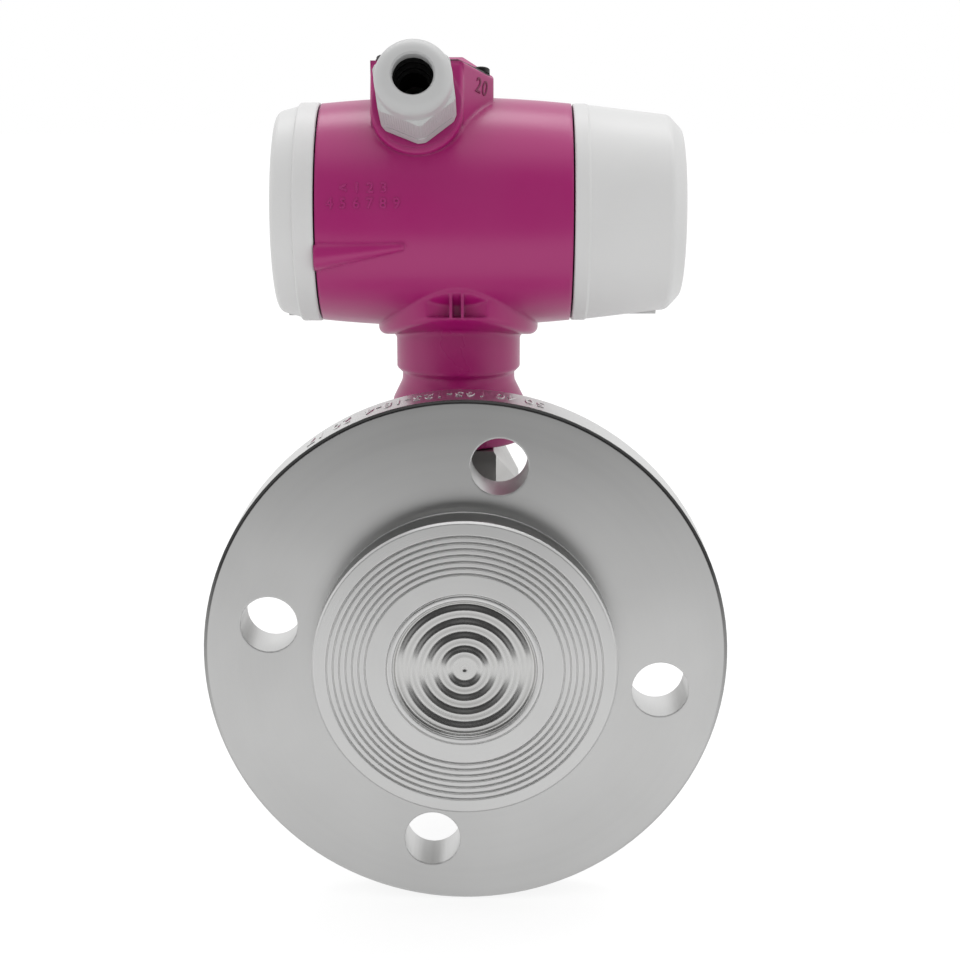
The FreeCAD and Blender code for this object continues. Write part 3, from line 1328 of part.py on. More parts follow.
def board_screw_places():
    """Screw centres of the board, in Y and Z."""
    places = []
    for y, z in on_circle(BOARD_SCREW_CIRCLE, BOARD_SCREW_COUNT, 90):
        places.append((NECK_Y + y, BARREL_Z + z))
    return places


def electronics_board():
    """Round circuit board on the insert."""
    start = Vector(module_face() + MODULE_LENGTH, NECK_Y, BARREL_Z)
    board = rod(BOARD_RADIUS, start, TO_RIGHT, BOARD_THICKNESS)
    for y, z in board_screw_places():
        board = board.cut(rod(SMALL_SCREW_RADIUS, Vector(start.x, y, z), TO_RIGHT, BOARD_THICKNESS))
    return board


def board_screws():
    """Screws that hold the board on the insert."""
    screw = slotted_screw(SMALL_HEAD_RADIUS, SMALL_HEAD_HEIGHT, SMALL_SCREW_RADIUS, SMALL_SCREW_LENGTH)
    x = board_face()
    return [placed(screw, Vector(x, y, z), TO_RIGHT) for y, z in board_screw_places()]


def board_face():
    """X of the board's outer face."""
    return module_face() + MODULE_LENGTH + BOARD_THICKNESS


def key_places():
    """Centres of the two keys, in Y and Z."""
    return [(NECK_Y + side * KEY_SPACING / 2, BARREL_Z) for side in (-1, 1)]


def key_frame():
    """Guide frame of the two keys on the board."""
    x = board_face()
    frame = box(
        Vector(x, NECK_Y - KEY_FRAME_WIDTH / 2, BARREL_Z - KEY_FRAME_HEIGHT / 2),
        Vector(x + KEY_FRAME_DEPTH, NECK_Y + KEY_FRAME_WIDTH / 2, BARREL_Z + KEY_FRAME_HEIGHT / 2),
    )
    pocket_depth = KEY_FOOT_THICKNESS + KEY_TRAVEL + 2 * FACE_GAP
    for y, z in key_places():
        frame = frame.cut(rod(KEY_RADIUS + RUNNING_GAP, Vector(x, y, z), TO_RIGHT, KEY_FRAME_DEPTH))
        frame = frame.cut(rod(KEY_FOOT_RADIUS + FACE_GAP, Vector(x, y, z), TO_RIGHT, pocket_depth))
    return frame


def key(place):
    """Push key with a foot that keeps it in the frame."""
    y, z = place
    foot_start = Vector(board_face() + KEY_TRAVEL + FACE_GAP, y, z)
    foot = rod(KEY_FOOT_RADIUS, foot_start, TO_RIGHT, KEY_FOOT_THICKNESS)
    length = KEY_FRAME_DEPTH + KEY_PROUD - KEY_TRAVEL - FACE_GAP
    stem = turned([(0, 0, 0), (KEY_RADIUS, 0, 0), (KEY_RADIUS, length, 0.5), (0, length, 0)])
    return fused([foot, placed(stem, foot_start, TO_RIGHT)])


# ================================================================ earth screws
def earth_clamp(seat, direction):
    """Square clamping plate under an earth screw."""
    half = GROUND_CLAMP_SIZE / 2
    plate = Part.makeBox(GROUND_CLAMP_SIZE, GROUND_CLAMP_SIZE, GROUND_CLAMP_THICKNESS, Vector(-half, -half, 0))
    plate = plate.makeFillet(1.0, [edge for edge in plate.Edges if abs(edge.tangentAt(edge.FirstParameter).z) > 0.5])
    plate = plate.cut(rod(GROUND_SCREW_RADIUS, Vector(0, 0, 0), UP, GROUND_CLAMP_THICKNESS))
    return placed(plate, seat, direction)


def earth_screw(seat, direction):
    """Screw of the outer earth clamp."""
    screw = slotted_screw(
        GROUND_SCREW_RADIUS * 1.8,
        SMALL_HEAD_HEIGHT * 1.3,
        GROUND_SCREW_RADIUS,
        SMALL_SCREW_LENGTH + GROUND_CLAMP_THICKNESS - FACE_GAP,
    )
    return placed(screw, seat + direction * GROUND_CLAMP_THICKNESS, direction)


def inner_ground_seat():
    """Centre of the inner earth boss's top, in the terminal room."""
    return Vector(
        terminal_face() - INNER_GROUND_BOSS_HEIGHT,
        NECK_Y + INNER_GROUND_SIDE,
        BARREL_Z + INNER_GROUND_RISE,
    )


def inner_ground_screw():
    """Earth screw inside the terminal room, in its boss on the partition."""
    screw = slotted_screw(
        GROUND_SCREW_RADIUS * 1.6, SMALL_HEAD_HEIGHT, GROUND_SCREW_RADIUS, SMALL_SCREW_LENGTH - FACE_GAP
    )
    return placed(screw, inner_ground_seat(), TO_LEFT)


# ================================================================ nodes
export("process_flange", process_flange())
export("seal_disc", seal_disc())
export("process_diaphragm", process_diaphragm())
export("sensor_body", sensor_body())
export("isolating_diaphragms", *isolating_diaphragms())
export("front_cell_gasket", gasket_ring(CELL_FRONT_Y, TO_PROCESS))
export("rear_cell_gasket", gasket_ring(CELL_BACK_Y, TO_REAR))
export("low_pressure_flange", low_pressure_flange())
export("side_plug", side_plug())
export("cell_bolts", *cell_bolts())
export("cell_washers", *cell_washers())
export("sensor_header", sensor_header())
export("neck_oring", neck_oring())
export("housing", housing())
export("neck_lock_screw", neck_lock_screw())
export("cover_lock_screws", *cover_lock_screws())
export("terminal_cover", terminal_cover())
export("terminal_cover_oring", cover_ring(-1))
export("electronics_cover", electronics_cover())
export("electronics_cover_oring", cover_ring(1))
export("gland_body", gland_body())
export("gland_oring", gland_oring())
export("gland_nut", gland_nut())
export("gland_seal", gland_seal())
export("gland_slip_ring", slip_ring())
export("blind_plug", blind_plug())
export("blind_plug_oring", blind_plug_oring())
export("nameplate", nameplate())
export("nameplate_screws", *nameplate_screws())
export("terminal_block", terminal_block())
export("terminal_plates", *terminal_plates())
export("terminal_screws", *terminal_screws())
export("terminal_block_screws", *terminal_block_screws())
export("feedthrough", feedthrough())
export("electronics_module", electronics_module())
export("electronics_board", electronics_board())
export("board_screws", *board_screws())
export("key_frame", key_frame())
export("zero_key", key(key_places()[0]))
export("span_key", key(key_places()[1]))
export("earth_clamp", earth_clamp(ground_seat(), TO_REAR))
export("earth_screw", earth_screw(ground_seat(), TO_REAR))
export("inner_earth_screw", inner_ground_screw())
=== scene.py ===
"""Looks of a flange-mounted differential pressure transmitter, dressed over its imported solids.

Everything is in metres in the frame of the solids: the origin is the centre of the flange's front
face, -Y points to the process, +Z is up through the housing.
"""

from __future__ import annotations

import json
import logging
import math
from collections.abc import Callable
from dataclasses import dataclass
from enum import Enum

import bpy
import numpy as np
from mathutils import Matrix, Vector

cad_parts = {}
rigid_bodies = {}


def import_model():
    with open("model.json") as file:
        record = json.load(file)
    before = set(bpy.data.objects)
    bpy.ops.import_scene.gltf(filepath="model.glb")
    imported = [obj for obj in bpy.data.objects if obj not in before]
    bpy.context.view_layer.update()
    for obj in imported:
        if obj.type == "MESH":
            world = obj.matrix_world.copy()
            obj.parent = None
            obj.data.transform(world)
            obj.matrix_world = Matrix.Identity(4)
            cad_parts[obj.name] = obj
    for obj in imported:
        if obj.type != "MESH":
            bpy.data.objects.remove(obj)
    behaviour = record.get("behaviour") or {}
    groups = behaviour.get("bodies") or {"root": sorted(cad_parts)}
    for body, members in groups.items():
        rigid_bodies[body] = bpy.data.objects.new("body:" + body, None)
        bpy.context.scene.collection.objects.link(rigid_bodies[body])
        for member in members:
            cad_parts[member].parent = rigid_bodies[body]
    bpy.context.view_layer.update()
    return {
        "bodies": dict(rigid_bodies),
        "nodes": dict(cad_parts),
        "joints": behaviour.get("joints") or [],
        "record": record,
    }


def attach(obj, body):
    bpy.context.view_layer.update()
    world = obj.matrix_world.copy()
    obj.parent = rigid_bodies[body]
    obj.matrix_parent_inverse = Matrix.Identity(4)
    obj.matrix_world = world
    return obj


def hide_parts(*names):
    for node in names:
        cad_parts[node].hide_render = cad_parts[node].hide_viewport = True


LOG = logging.getLogger("transmitter")
MM = 0.001

NECK_X = -2.8 * MM
NECK_Y = 50.0 * MM
BARREL_Z = 134.3 * MM
TERMINAL_SEAM_X = -46.7 * MM
ELECTRONICS_SEAM_X = 33.7 * MM
ENTRY_X = -14.9 * MM
ENTRY_Z = 169.9 * MM
ENTRY_REACH = 27.0 * MM
ENTRY_TILT = math.radians(20.0)
THREAD_PITCH = 1.5 * MM
FLANGE_RADIUS = 82.5 * MM
BLOCK_FRONT_X = -17.3 * MM
TERMINAL_STEP = 11.0 * MM
BOARD_FACE_X = 17.3 * MM


class Axis(Enum):
    """Row axis that a turned part's marks run around."""

    X = (0.0, 1.0, 1.0)
    Y = (1.0, 0.0, 1.0)
    Z = (1.0, 1.0, 0.0)


# ---------------------------------------------------------------- node helpers
class NodeSheet:
    """Adds nodes to one node tree and wires them."""

    def __init__(self, tree: bpy.types.NodeTree) -> None:
        """Keeps the tree.

        Args:
            tree: node tree that receives the nodes.
        """
        self.tree = tree

    def add(self, kind: str, inputs: dict | None = None, **settings: object) -> bpy.types.Node:
        """Adds a node.

        Args:
            kind: node type identifier.
            inputs: socket name or index to a value or to an output socket to link.
            settings: attributes of the node itself.

        Returns:
            The new node.
        """
        node = self.tree.nodes.new(kind)
        for key, value in settings.items():
            setattr(node, key, value)
        for key, value in (inputs or {}).items():
            if isinstance(value, bpy.types.NodeSocket):
                self.tree.links.new(value, node.inputs[key])
            else:
                node.inputs[key].default_value = value
        return node

    def math(self, operation: str, *values: object) -> bpy.types.NodeSocket:
        """Adds a Math node.

        Args:
            operation: Math node operation.
            values: numbers or output sockets.

        Returns:
            The result socket.
        """
        return self.add("ShaderNodeMath", dict(enumerate(values)), operation=operation).outputs[0]

    def vector(self, operation: str, *values: object) -> bpy.types.Node:
        """Adds a Vector Math node and returns it."""
        return self.add("ShaderNodeVectorMath", dict(enumerate(values)), operation=operation)

    def noise(self, vector: object, scale: float, detail: float = 2.0) -> bpy.types.NodeSocket:
        """Adds a 3D noise and returns its factor."""
        return self.add("ShaderNodeTexNoise", {"Vector": vector, "Scale": scale, "Detail": detail}).outputs[0]

    def span(
        self, value: object, low: float, high: float, new_low: float, new_high: float
    ) -> bpy.types.NodeSocket:
        """Maps a value's range, clamped, to a new range."""
        values = {"Value": value, 1: low, 2: high, 3: new_low, 4: new_high}
        return self.add("ShaderNodeMapRange", values, clamp=True).outputs[0]

    def link(self, source: bpy.types.NodeSocket, target: bpy.types.NodeSocket) -> None:
        """Wires one socket to another."""
        self.tree.links.new(source, target)

    def mix(self, factor: object, first: object, second: object) -> bpy.types.NodeSocket:
        """Mixes two numbers and returns the result."""
        values = {0: factor, 2: first, 3: second}
        return self.add("ShaderNodeMix", values, data_type="FLOAT").outputs[0]

    def blend(self, factor: object, first: object, second: object) -> bpy.types.NodeSocket:
        """Mixes two colours and returns the result."""
        values = {0: factor, 6: first, 7: second}
        return self.add("ShaderNodeMix", values, data_type="RGBA").outputs[2]

    def rounded(self, radius: float, samples: int = 4) -> bpy.types.NodeSocket:
        """Normal that turns over the edges as if they were rounded."""
        return self.add("ShaderNodeBevel", {"Radius": radius}, samples=samples).outputs[0]

    def bump(
        self, height: object, distance: float, strength: float, normal: object = None
    ) -> bpy.types.NodeSocket:
        """Adds a Bump node and returns its normal."""
        values = {"Height": height, "Distance": distance, "Strength": strength}
        if normal is not None:
            values["Normal"] = normal
        return self.add("ShaderNodeBump", values).outputs[0]


def make_group(
    name: str,
    inputs: dict[str, str],
    outputs: dict[str, str],
    wire: Callable[[NodeSheet, bpy.types.Node, bpy.types.Node], None],
) -> bpy.types.NodeTree:
    """Makes a shader node group once and returns it.

    Args:
        name: name of the group.
        inputs: socket name to socket type.
        outputs: socket name to socket type.
        wire: fills the group, given the sheet, the input node and the output node.

    Returns:
        The node group.
    """
    found = bpy.data.node_groups.get(name)
    if found is not None:
        return found
    tree = bpy.data.node_groups.new(name, "ShaderNodeTree")
    for label, kind in inputs.items():
        tree.interface.new_socket(label, in_out="INPUT", socket_type=kind)
    for label, kind in outputs.items():
        tree.interface.new_socket(label, in_out="OUTPUT", socket_type=kind)
    sheet = NodeSheet(tree)
    wire(sheet, sheet.add("NodeGroupInput"), sheet.add("NodeGroupOutput"))
    return tree


FLOAT = "NodeSocketFloat"
VECTOR = "NodeSocketVector"


def peel_group() -> bpy.types.NodeTree:
    """Height of a sprayed coat: a soft orange peel with a finer grain on it."""

    def wire(sheet: NodeSheet, source: bpy.types.Node, sink: bpy.types.Node) -> None:
        broad = sheet.noise(source.outputs[0], source.outputs[1], 1.0)
        fine = sheet.noise(source.outputs[0], sheet.math("MULTIPLY", source.outputs[1], 3.7))
        sheet.link(sheet.math("MULTIPLY_ADD", fine, 0.35, broad), sink.inputs[0])

    return make_group("coat_peel", {"Vector": VECTOR, "Scale": FLOAT}, {"Height": FLOAT}, wire)


def cloud_group() -> bpy.types.NodeTree:
    """Slow cloudy mask for handling marks and uneven tone, about 0 to 1."""

    def wire(sheet: NodeSheet, source: bpy.types.Node, sink: bpy.types.Node) -> None:
        noise = sheet.add(
            "ShaderNodeTexNoise",
            {"Vector": source.outputs[0], "Scale": source.outputs[1], "Detail": 4.0, "Distortion": 0.4},
        )
        sheet.link(sheet.span(noise.outputs[0], 0.32, 0.68, 0.0, 1.0), sink.inputs[0])

    return make_group("soft_cloud", {"Vector": VECTOR, "Scale": FLOAT}, {"Mask": FLOAT}, wire)


def edge_group() -> bpy.types.NodeTree:
    """Mask of outer and inner edges, from the difference between a rounded and the true normal."""

    def wire(sheet: NodeSheet, source: bpy.types.Node, sink: bpy.types.Node) -> None:
        true = sheet.add("ShaderNodeNewGeometry").outputs["Normal"]
        dot = sheet.vector("DOT_PRODUCT", sheet.rounded(source.outputs[0]), true)
        mask = sheet.span(dot.outputs["Value"], 0.995, 0.9, 0.0, 1.0)
        sheet.link(mask, sink.inputs[0])

    return make_group("edge_mask", {"Radius": FLOAT}, {"Mask": FLOAT}, wire)


def lathe_group() -> bpy.types.NodeTree:
    """Turning marks: fine feed lines and slow bands that depend on the distance from an axis."""

    def wire(sheet: NodeSheet, source: bpy.types.Node, sink: bpy.types.Node) -> None:
        flat = sheet.vector("MULTIPLY", source.outputs[0], source.outputs[1]).outputs[0]
        radius = sheet.vector("LENGTH", flat).outputs["Value"]
        feed = sheet.math("DIVIDE", radius, source.outputs[2])
        fine, slow = (
            sheet.add("ShaderNodeTexNoise", {"W": feed, "Scale": scale, "Detail": detail}, noise_dimensions="1D")
            for scale, detail in ((1.0, 2.0), (0.045, 3.0))
        )
        smear = sheet.noise(flat, 24.0, 3.0)
        sheet.link(sheet.math("MULTIPLY_ADD", slow.outputs[0], 0.6, fine.outputs[0]), sink.inputs[0])
        bands = sheet.math("MULTIPLY", slow.outputs[0], 0.5)
        sheet.link(sheet.math("MULTIPLY_ADD", smear, 0.5, bands), sink.inputs[1])

    inputs = {"Vector": VECTOR, "Across": VECTOR, "Feed": FLOAT}
    return make_group("lathe_marks", inputs, {"Height": FLOAT, "Tone": FLOAT}, wire)


def screw_group() -> bpy.types.NodeTree:
    """Distance along a screw's axis and the angle round it, in turns, from an origin and two directions."""

    def wire(sheet: NodeSheet, source: bpy.types.Node, sink: bpy.types.Node) -> None:
        place, origin, axis, across = list(source.outputs)[:4]
        away = sheet.vector("SUBTRACT", place, origin).outputs[0]
        side = sheet.vector("CROSS_PRODUCT", axis, across).outputs[0]
        along, first, second = (
            sheet.vector("DOT_PRODUCT", away, way).outputs["Value"] for way in (axis, across, side)
        )
        angle = sheet.math("ARCTAN2", second, first)
        sheet.link(along, sink.inputs[0])
        sheet.link(sheet.math("DIVIDE", angle, 2.0 * math.pi), sink.inputs[1])

    inputs = {"Vector": VECTOR, "Origin": VECTOR, "Axis": VECTOR, "Across": VECTOR}
    return make_group("screw_place", inputs, {"Along": FLOAT, "Turn": FLOAT}, wire)


def use_group(sheet: NodeSheet, tree: bpy.types.NodeTree, values: dict) -> bpy.types.Node:
    """Places a node group in a sheet with its values."""
    return sheet.add("ShaderNodeGroup", values, node_tree=tree)


def new_material(name: str) -> tuple[bpy.types.Material, NodeSheet, bpy.types.Node, bpy.types.NodeSocket]:
    """Makes an empty Principled material.

    Args:
        name: material name.

    Returns:
        The material, its sheet, the Principled node and the object coordinates.
    """
    material = bpy.data.materials.new(name)
    material.use_nodes = True
    material.node_tree.nodes.clear()
    sheet = NodeSheet(material.node_tree)
    shader = sheet.add("ShaderNodeBsdfPrincipled")
    sheet.add("ShaderNodeOutputMaterial", {"Surface": shader.outputs[0]})
    place = sheet.add("ShaderNodeTexCoord").outputs["Object"]
    return material, sheet, shader, place


def colour(red: float, green: float, blue: float) -> tuple[float, float, float, float]:
    """Opaque linear colour."""
    return (red, green, blue, 1.0)


WHITE = colour(1.0, 1.0, 1.0)


def shade(tint: tuple[float, float, float], factor: float, lift: float = 0.0) -> tuple[float, ...]:
    """Opaque tint scaled by a factor and lifted, no channel over one."""
    return colour(*(min(1.0, factor * channel + lift) for channel in tint))


# ---------------------------------------------------------------- finishes
@dataclass(frozen=True)
class PowderCoat:
    """Semi-gloss sprayed coat on cast metal."""

    name: str
    tint: tuple[float, float, float]
    wear_and_highlight_tint: tuple[float, float, float]
    roughness: float = 0.42
    peel_scale: float = 620.0
    peel_strength: float = 0.07
    edge_radius: float = 0.0006
    round_radius: float = 0.0004
    ior: float = 1.5

    def make(self) -> bpy.types.Material:
        """Builds the material."""
        material, sheet, shader, place = new_material(self.name)
        cloud = use_group(sheet, cloud_group(), {"Vector": place, "Scale": 22.0}).outputs[0]
        edge = use_group(sheet, edge_group(), {"Radius": self.edge_radius}).outputs[0]
        grain = sheet.noise(place, 900.0, 3.0)
        # Painted highlight and wear: grains along the edges blend towards the second tint, worn paint on the
        # housing and a painted highlight on the cast figures' edges.
        wear_and_highlight = sheet.math("MULTIPLY", edge, sheet.span(grain, 0.35, 0.7, 0.1, 0.55))
        toned = sheet.blend(sheet.math("MULTIPLY", cloud, 0.10), colour(*self.tint), colour(*self.wear_and_highlight_tint))
        sheet.link(sheet.blend(wear_and_highlight, toned, colour(*self.wear_and_highlight_tint)), shader.inputs["Base Color"])
        rough = sheet.span(cloud, 0.0, 1.0, self.roughness - 0.04, self.roughness + 0.05)
        sheet.link(rough, shader.inputs["Roughness"])
        height = use_group(sheet, peel_group(), {"Vector": place, "Scale": self.peel_scale}).outputs[0]
        soft = sheet.rounded(self.round_radius, 6)
        sheet.link(sheet.bump(height, 0.00012, self.peel_strength, soft), shader.inputs["Normal"])
        shader.inputs["IOR"].default_value = self.ior
        return material


@dataclass(frozen=True)
class Screw:
    """Line of a screw: its seating plane, the way out of its hole, a direction across, and the pitch."""

    origin: tuple[float, float, float]
    axis: tuple[float, float, float]
    across: tuple[float, float, float] = (1.0, 0.0, 0.0)
    pitch: float = THREAD_PITCH

    def spot(self, sheet: NodeSheet, place: bpy.types.NodeSocket) -> bpy.types.Node:
        """Node that gives the distance along the screw and the angle round it, in turns."""
        values = {"Vector": place, "Origin": self.origin, "Axis": self.axis, "Across": self.across}
        return use_group(sheet, screw_group(), values)

    def thread(self, sheet: NodeSheet, spot: bpy.types.Node) -> bpy.types.NodeSocket:
        """Thread height: a zigzag of the distance in pitches plus the angle in turns, 0 to 0.5."""
        phase = sheet.math("ADD", sheet.math("DIVIDE", spot.outputs[0], self.pitch), spot.outputs[1])
        return sheet.math("PINGPONG", phase, 0.5)


@dataclass(frozen=True)
class ScrewCover:
    """Sprayed screw cover whose skirt is bare turned metal with a thread on it."""

    name: str
    tint: tuple[float, float, float]
    screw: Screw
    roughness: float = 0.42
    ior: float = 1.42
    metal: tuple[float, float, float] = (0.62, 0.62, 0.63)
    metal_roughness: float = 0.3

    def make(self) -> bpy.types.Material:
        """Builds the material."""
        material, sheet, shader, place = new_material(self.name)
        spot = self.screw.spot(sheet, place)
        bare = sheet.span(spot.outputs[0], 0.0, 0.04 * MM, 1.0, 0.0)
        cloud = use_group(sheet, cloud_group(), {"Vector": place, "Scale": 22.0}).outputs[0]
        edge = use_group(sheet, edge_group(), {"Radius": 0.5 * MM}).outputs[0]
        paint = sheet.blend(cloud, colour(*self.tint), shade(self.tint, 0.965))
        paint = sheet.blend(sheet.math("MULTIPLY", edge, 0.4), paint, shade(self.tint, 1.12))
        sheet.link(sheet.blend(bare, paint, colour(*self.metal)), shader.inputs["Base Color"])
        sheet.link(bare, shader.inputs["Metallic"])
        paint_rough = sheet.span(cloud, 0.0, 1.0, self.roughness - 0.03, self.roughness + 0.04)
        sheet.link(sheet.mix(bare, paint_rough, self.metal_roughness), shader.inputs["Roughness"])
        ridge = sheet.math("MULTIPLY", self.screw.thread(sheet, spot), bare)
        peel = use_group(sheet, peel_group(), {"Vector": place, "Scale": 620.0}).outputs[0]
        coat = sheet.bump(peel, 0.1 * MM, 0.05, sheet.rounded(0.4 * MM))
        sheet.link(sheet.bump(ridge, MM, 1.0, coat), shader.inputs["Normal"])
        shader.inputs["IOR"].default_value = self.ior
        return material


@dataclass(frozen=True)
class RibbedMoulding:
    """Moulded plastic with fine grip ribs, or a thread, between two heights of a screw's line."""

    name: str
    tint: tuple[float, float, float]
    screw: Screw
    low: float
    high: float
    threaded: bool = False
    ribs: float = 96.0
    roughness: float = 0.42

    def make(self) -> bpy.types.Material:
        """Builds the material."""
        material, sheet, shader, place = new_material(self.name)
        spot = self.screw.spot(sheet, place)
        above = sheet.span(spot.outputs[0], self.low - 0.2 * MM, self.low, 0.0, 1.0)
        below = sheet.span(spot.outputs[0], self.high, self.high + 0.2 * MM, 1.0, 0.0)
        zone = sheet.math("MULTIPLY", above, below)
        if self.threaded:
            wave = self.screw.thread(sheet, spot)
        else:
            wave = sheet.math("PINGPONG", sheet.math("MULTIPLY", spot.outputs[1], self.ribs), 0.5)
        ridge = sheet.math("MULTIPLY", wave, zone)
        cloud = use_group(sheet, cloud_group(), {"Vector": place, "Scale": 60.0}).outputs[0]
        # Painted shade: the colour darkens in the bottom of each rib or thread groove, added to a cloudy uneven
        # tone.
        groove_shade = sheet.math("MULTIPLY", sheet.span(wave, 0.0, 0.2, 0.25, 0.0), zone)
        dirt_and_groove_shade = sheet.math("ADD", sheet.math("MULTIPLY", cloud, 0.25), groove_shade)
        sheet.link(sheet.blend(dirt_and_groove_shade, colour(*self.tint), shade(self.tint, 0.86)), shader.inputs["Base Color"])
        grain = sheet.noise(place, 2200.0, 3.0)
        rough = sheet.math("MULTIPLY_ADD", grain, 0.10, self.roughness - 0.05)
        sheet.link(rough, shader.inputs["Roughness"])
        depth = MM if self.threaded else 0.4 * MM
        sheet.link(sheet.bump(ridge, depth, 0.55, sheet.rounded(0.5 * MM)), shader.inputs["Normal"])
        return material


@dataclass(frozen=True)
class TurnedSteel:
    """Stainless steel faced on a lathe, with feed lines around an axis, and, when given a radius, a painted dark
    reflection line along the rim's front edge.
    """

    name: str
    tint: tuple[float, float, float]
    axis: Axis = Axis.Y
    feed: float = 0.00022
    roughness: float = 0.34
    bump: float = 0.06
    round_radius: float = 0.0007
    dark_reflection_radius: float = 0.0

    def make(self) -> bpy.types.Material:
        """Builds the material."""
        material, sheet, shader, place = new_material(self.name)
        values = {"Vector": place, "Across": self.axis.value, "Feed": self.feed}
        marks = use_group(sheet, lathe_group(), values)
        cloud = use_group(sheet, cloud_group(), {"Vector": place, "Scale": 16.0}).outputs[0]
        edge = use_group(sheet, edge_group(), {"Radius": 0.5 * MM}).outputs[0]
        tone = sheet.span(marks.outputs[1], 0.3, 0.75, 0.0, 1.0)
        toned = sheet.blend(tone, shade(self.tint, 0.93), colour(*self.tint))
        bright = sheet.blend(sheet.math("MULTIPLY", edge, 0.6), toned, shade(self.tint, 1.22))
        # Painted reflection: a near-black band round the rim's front edge, strongest at the top and fading out
        # below the middle, stands in for the dark room mirrored in the rounded edge.
        if self.dark_reflection_radius:
            part = sheet.add("ShaderNodeSeparateXYZ", {0: place})
            flat = sheet.add("ShaderNodeCombineXYZ", {0: part.outputs[0], 2: part.outputs[2]}).outputs[0]
            radius = sheet.vector("LENGTH", flat).outputs["Value"]
            line = sheet.math(
                "MULTIPLY",
                sheet.span(radius, self.dark_reflection_radius - 1.3 * MM, self.dark_reflection_radius - MM, 0.0, 1.0),
                sheet.span(part.outputs[1], 0.7 * MM, 1.1 * MM, 1.0, 0.0),
            )
            line = sheet.math("MULTIPLY", line, sheet.span(part.outputs[2], -0.03, 0.03, 0.0, 0.92))
            bright = sheet.blend(line, bright, colour(0.01, 0.01, 0.01))
        sheet.link(bright, shader.inputs["Base Color"])
        rough = sheet.math("MULTIPLY_ADD", cloud, 0.07, sheet.span(marks.outputs[0], 0.3, 1.1, -0.05, 0.05))
        rough = sheet.math("ADD", rough, self.roughness)
        sheet.link(rough, shader.inputs["Roughness"])
        shader.inputs["Metallic"].default_value = 1.0
        soft = sheet.rounded(self.round_radius, 6)
        sheet.link(sheet.bump(marks.outputs[0], 0.03 * MM, self.bump, soft), shader.inputs["Normal"])
        return material


@dataclass(frozen=True)
class ThreadedSteel:
    """Turned steel screw, threaded behind its seating plane."""

    name: str
    tint: tuple[float, float, float]
    screw: Screw
    roughness: float = 0.3

    def make(self) -> bpy.types.Material:
        """Builds the material."""
        material, sheet, shader, place = new_material(self.name)
        spot = self.screw.spot(sheet, place)
        inside = sheet.span(spot.outputs[0], -0.2 * MM, 0.0, 1.0, 0.0)
        ridge = sheet.math("MULTIPLY", self.screw.thread(sheet, spot), inside)
        cloud = use_group(sheet, cloud_group(), {"Vector": place, "Scale": 40.0}).outputs[0]
        sheet.link(sheet.blend(cloud, colour(*self.tint), shade(self.tint, 0.82)), shader.inputs["Base Color"])
        rough = sheet.math("MULTIPLY_ADD", cloud, 0.1, self.roughness - 0.04)
        sheet.link(rough, shader.inputs["Roughness"])
        shader.inputs["Metallic"].default_value = 1.0
        sheet.link(sheet.bump(ridge, MM, 1.0, sheet.rounded(0.3 * MM)), shader.inputs["Normal"])
        return material


@dataclass(frozen=True)
class MachinedSteel:
    """Milled, cast or rolled steel with grain stretched along one axis."""

    name: str
    tint: tuple[float, float, float]
    stretch: tuple[float, float, float] = (1.0, 1.0, 8.0)
    roughness: float = 0.38
    bump: float = 0.12

    def make(self) -> bpy.types.Material:
        """Builds the material."""
        material, sheet, shader, place = new_material(self.name)
        scale = [1.0 / s for s in self.stretch]
        drawn = sheet.add("ShaderNodeMapping", {"Vector": place, "Scale": scale}).outputs[0]
        grain = sheet.noise(drawn, 2600.0, 3.0)
        cloud = use_group(sheet, cloud_group(), {"Vector": place, "Scale": 40.0}).outputs[0]
        edge = use_group(sheet, edge_group(), {"Radius": 0.0005}).outputs[0]
        toned = sheet.blend(sheet.math("MULTIPLY", cloud, 0.6), colour(*self.tint), shade(self.tint, 0.72))
        bright = sheet.blend(sheet.math("MULTIPLY", edge, 0.7), toned, shade(self.tint, 1.25))
        sheet.link(bright, shader.inputs["Base Color"])
        base = sheet.math("MULTIPLY_ADD", cloud, 0.08, self.roughness - 0.1)
        rough = sheet.math("MULTIPLY_ADD", grain, 0.16, base)
        sheet.link(rough, shader.inputs["Roughness"])
        shader.inputs["Metallic"].default_value = 1.0
        sheet.link(sheet.bump(grain, 0.00003, self.bump), shader.inputs["Normal"])
        return material


@dataclass(frozen=True)
class Moulding:
    """Moulded plastic or rubber with a fine spark-eroded texture."""

    name: str
    tint: tuple[float, float, float]
    roughness: float = 0.45
    texture_scale: float = 2200.0
    bump: float = 0.12
    tone_shift: float = 0.12

    def make(self) -> bpy.types.Material:
        """Builds the material."""
        material, sheet, shader, place = new_material(self.name)
        cloud = use_group(sheet, cloud_group(), {"Vector": place, "Scale": 60.0}).outputs[0]
        edge = use_group(sheet, edge_group(), {"Radius": 0.0004}).outputs[0]
        toned = sheet.blend(cloud, colour(*self.tint), shade(self.tint, 1.0 - self.tone_shift))
        pale = sheet.blend(sheet.math("MULTIPLY", edge, 0.5), toned, shade(self.tint, 1.12, 0.01))
        sheet.link(pale, shader.inputs["Base Color"])
        texture = sheet.noise(place, self.texture_scale, 3.0)
        rough = sheet.math("MULTIPLY_ADD", texture, 0.12, self.roughness - 0.06)
        sheet.link(rough, shader.inputs["Roughness"])
        sheet.link(sheet.bump(texture, 0.00005, self.bump), shader.inputs["Normal"])
        return material


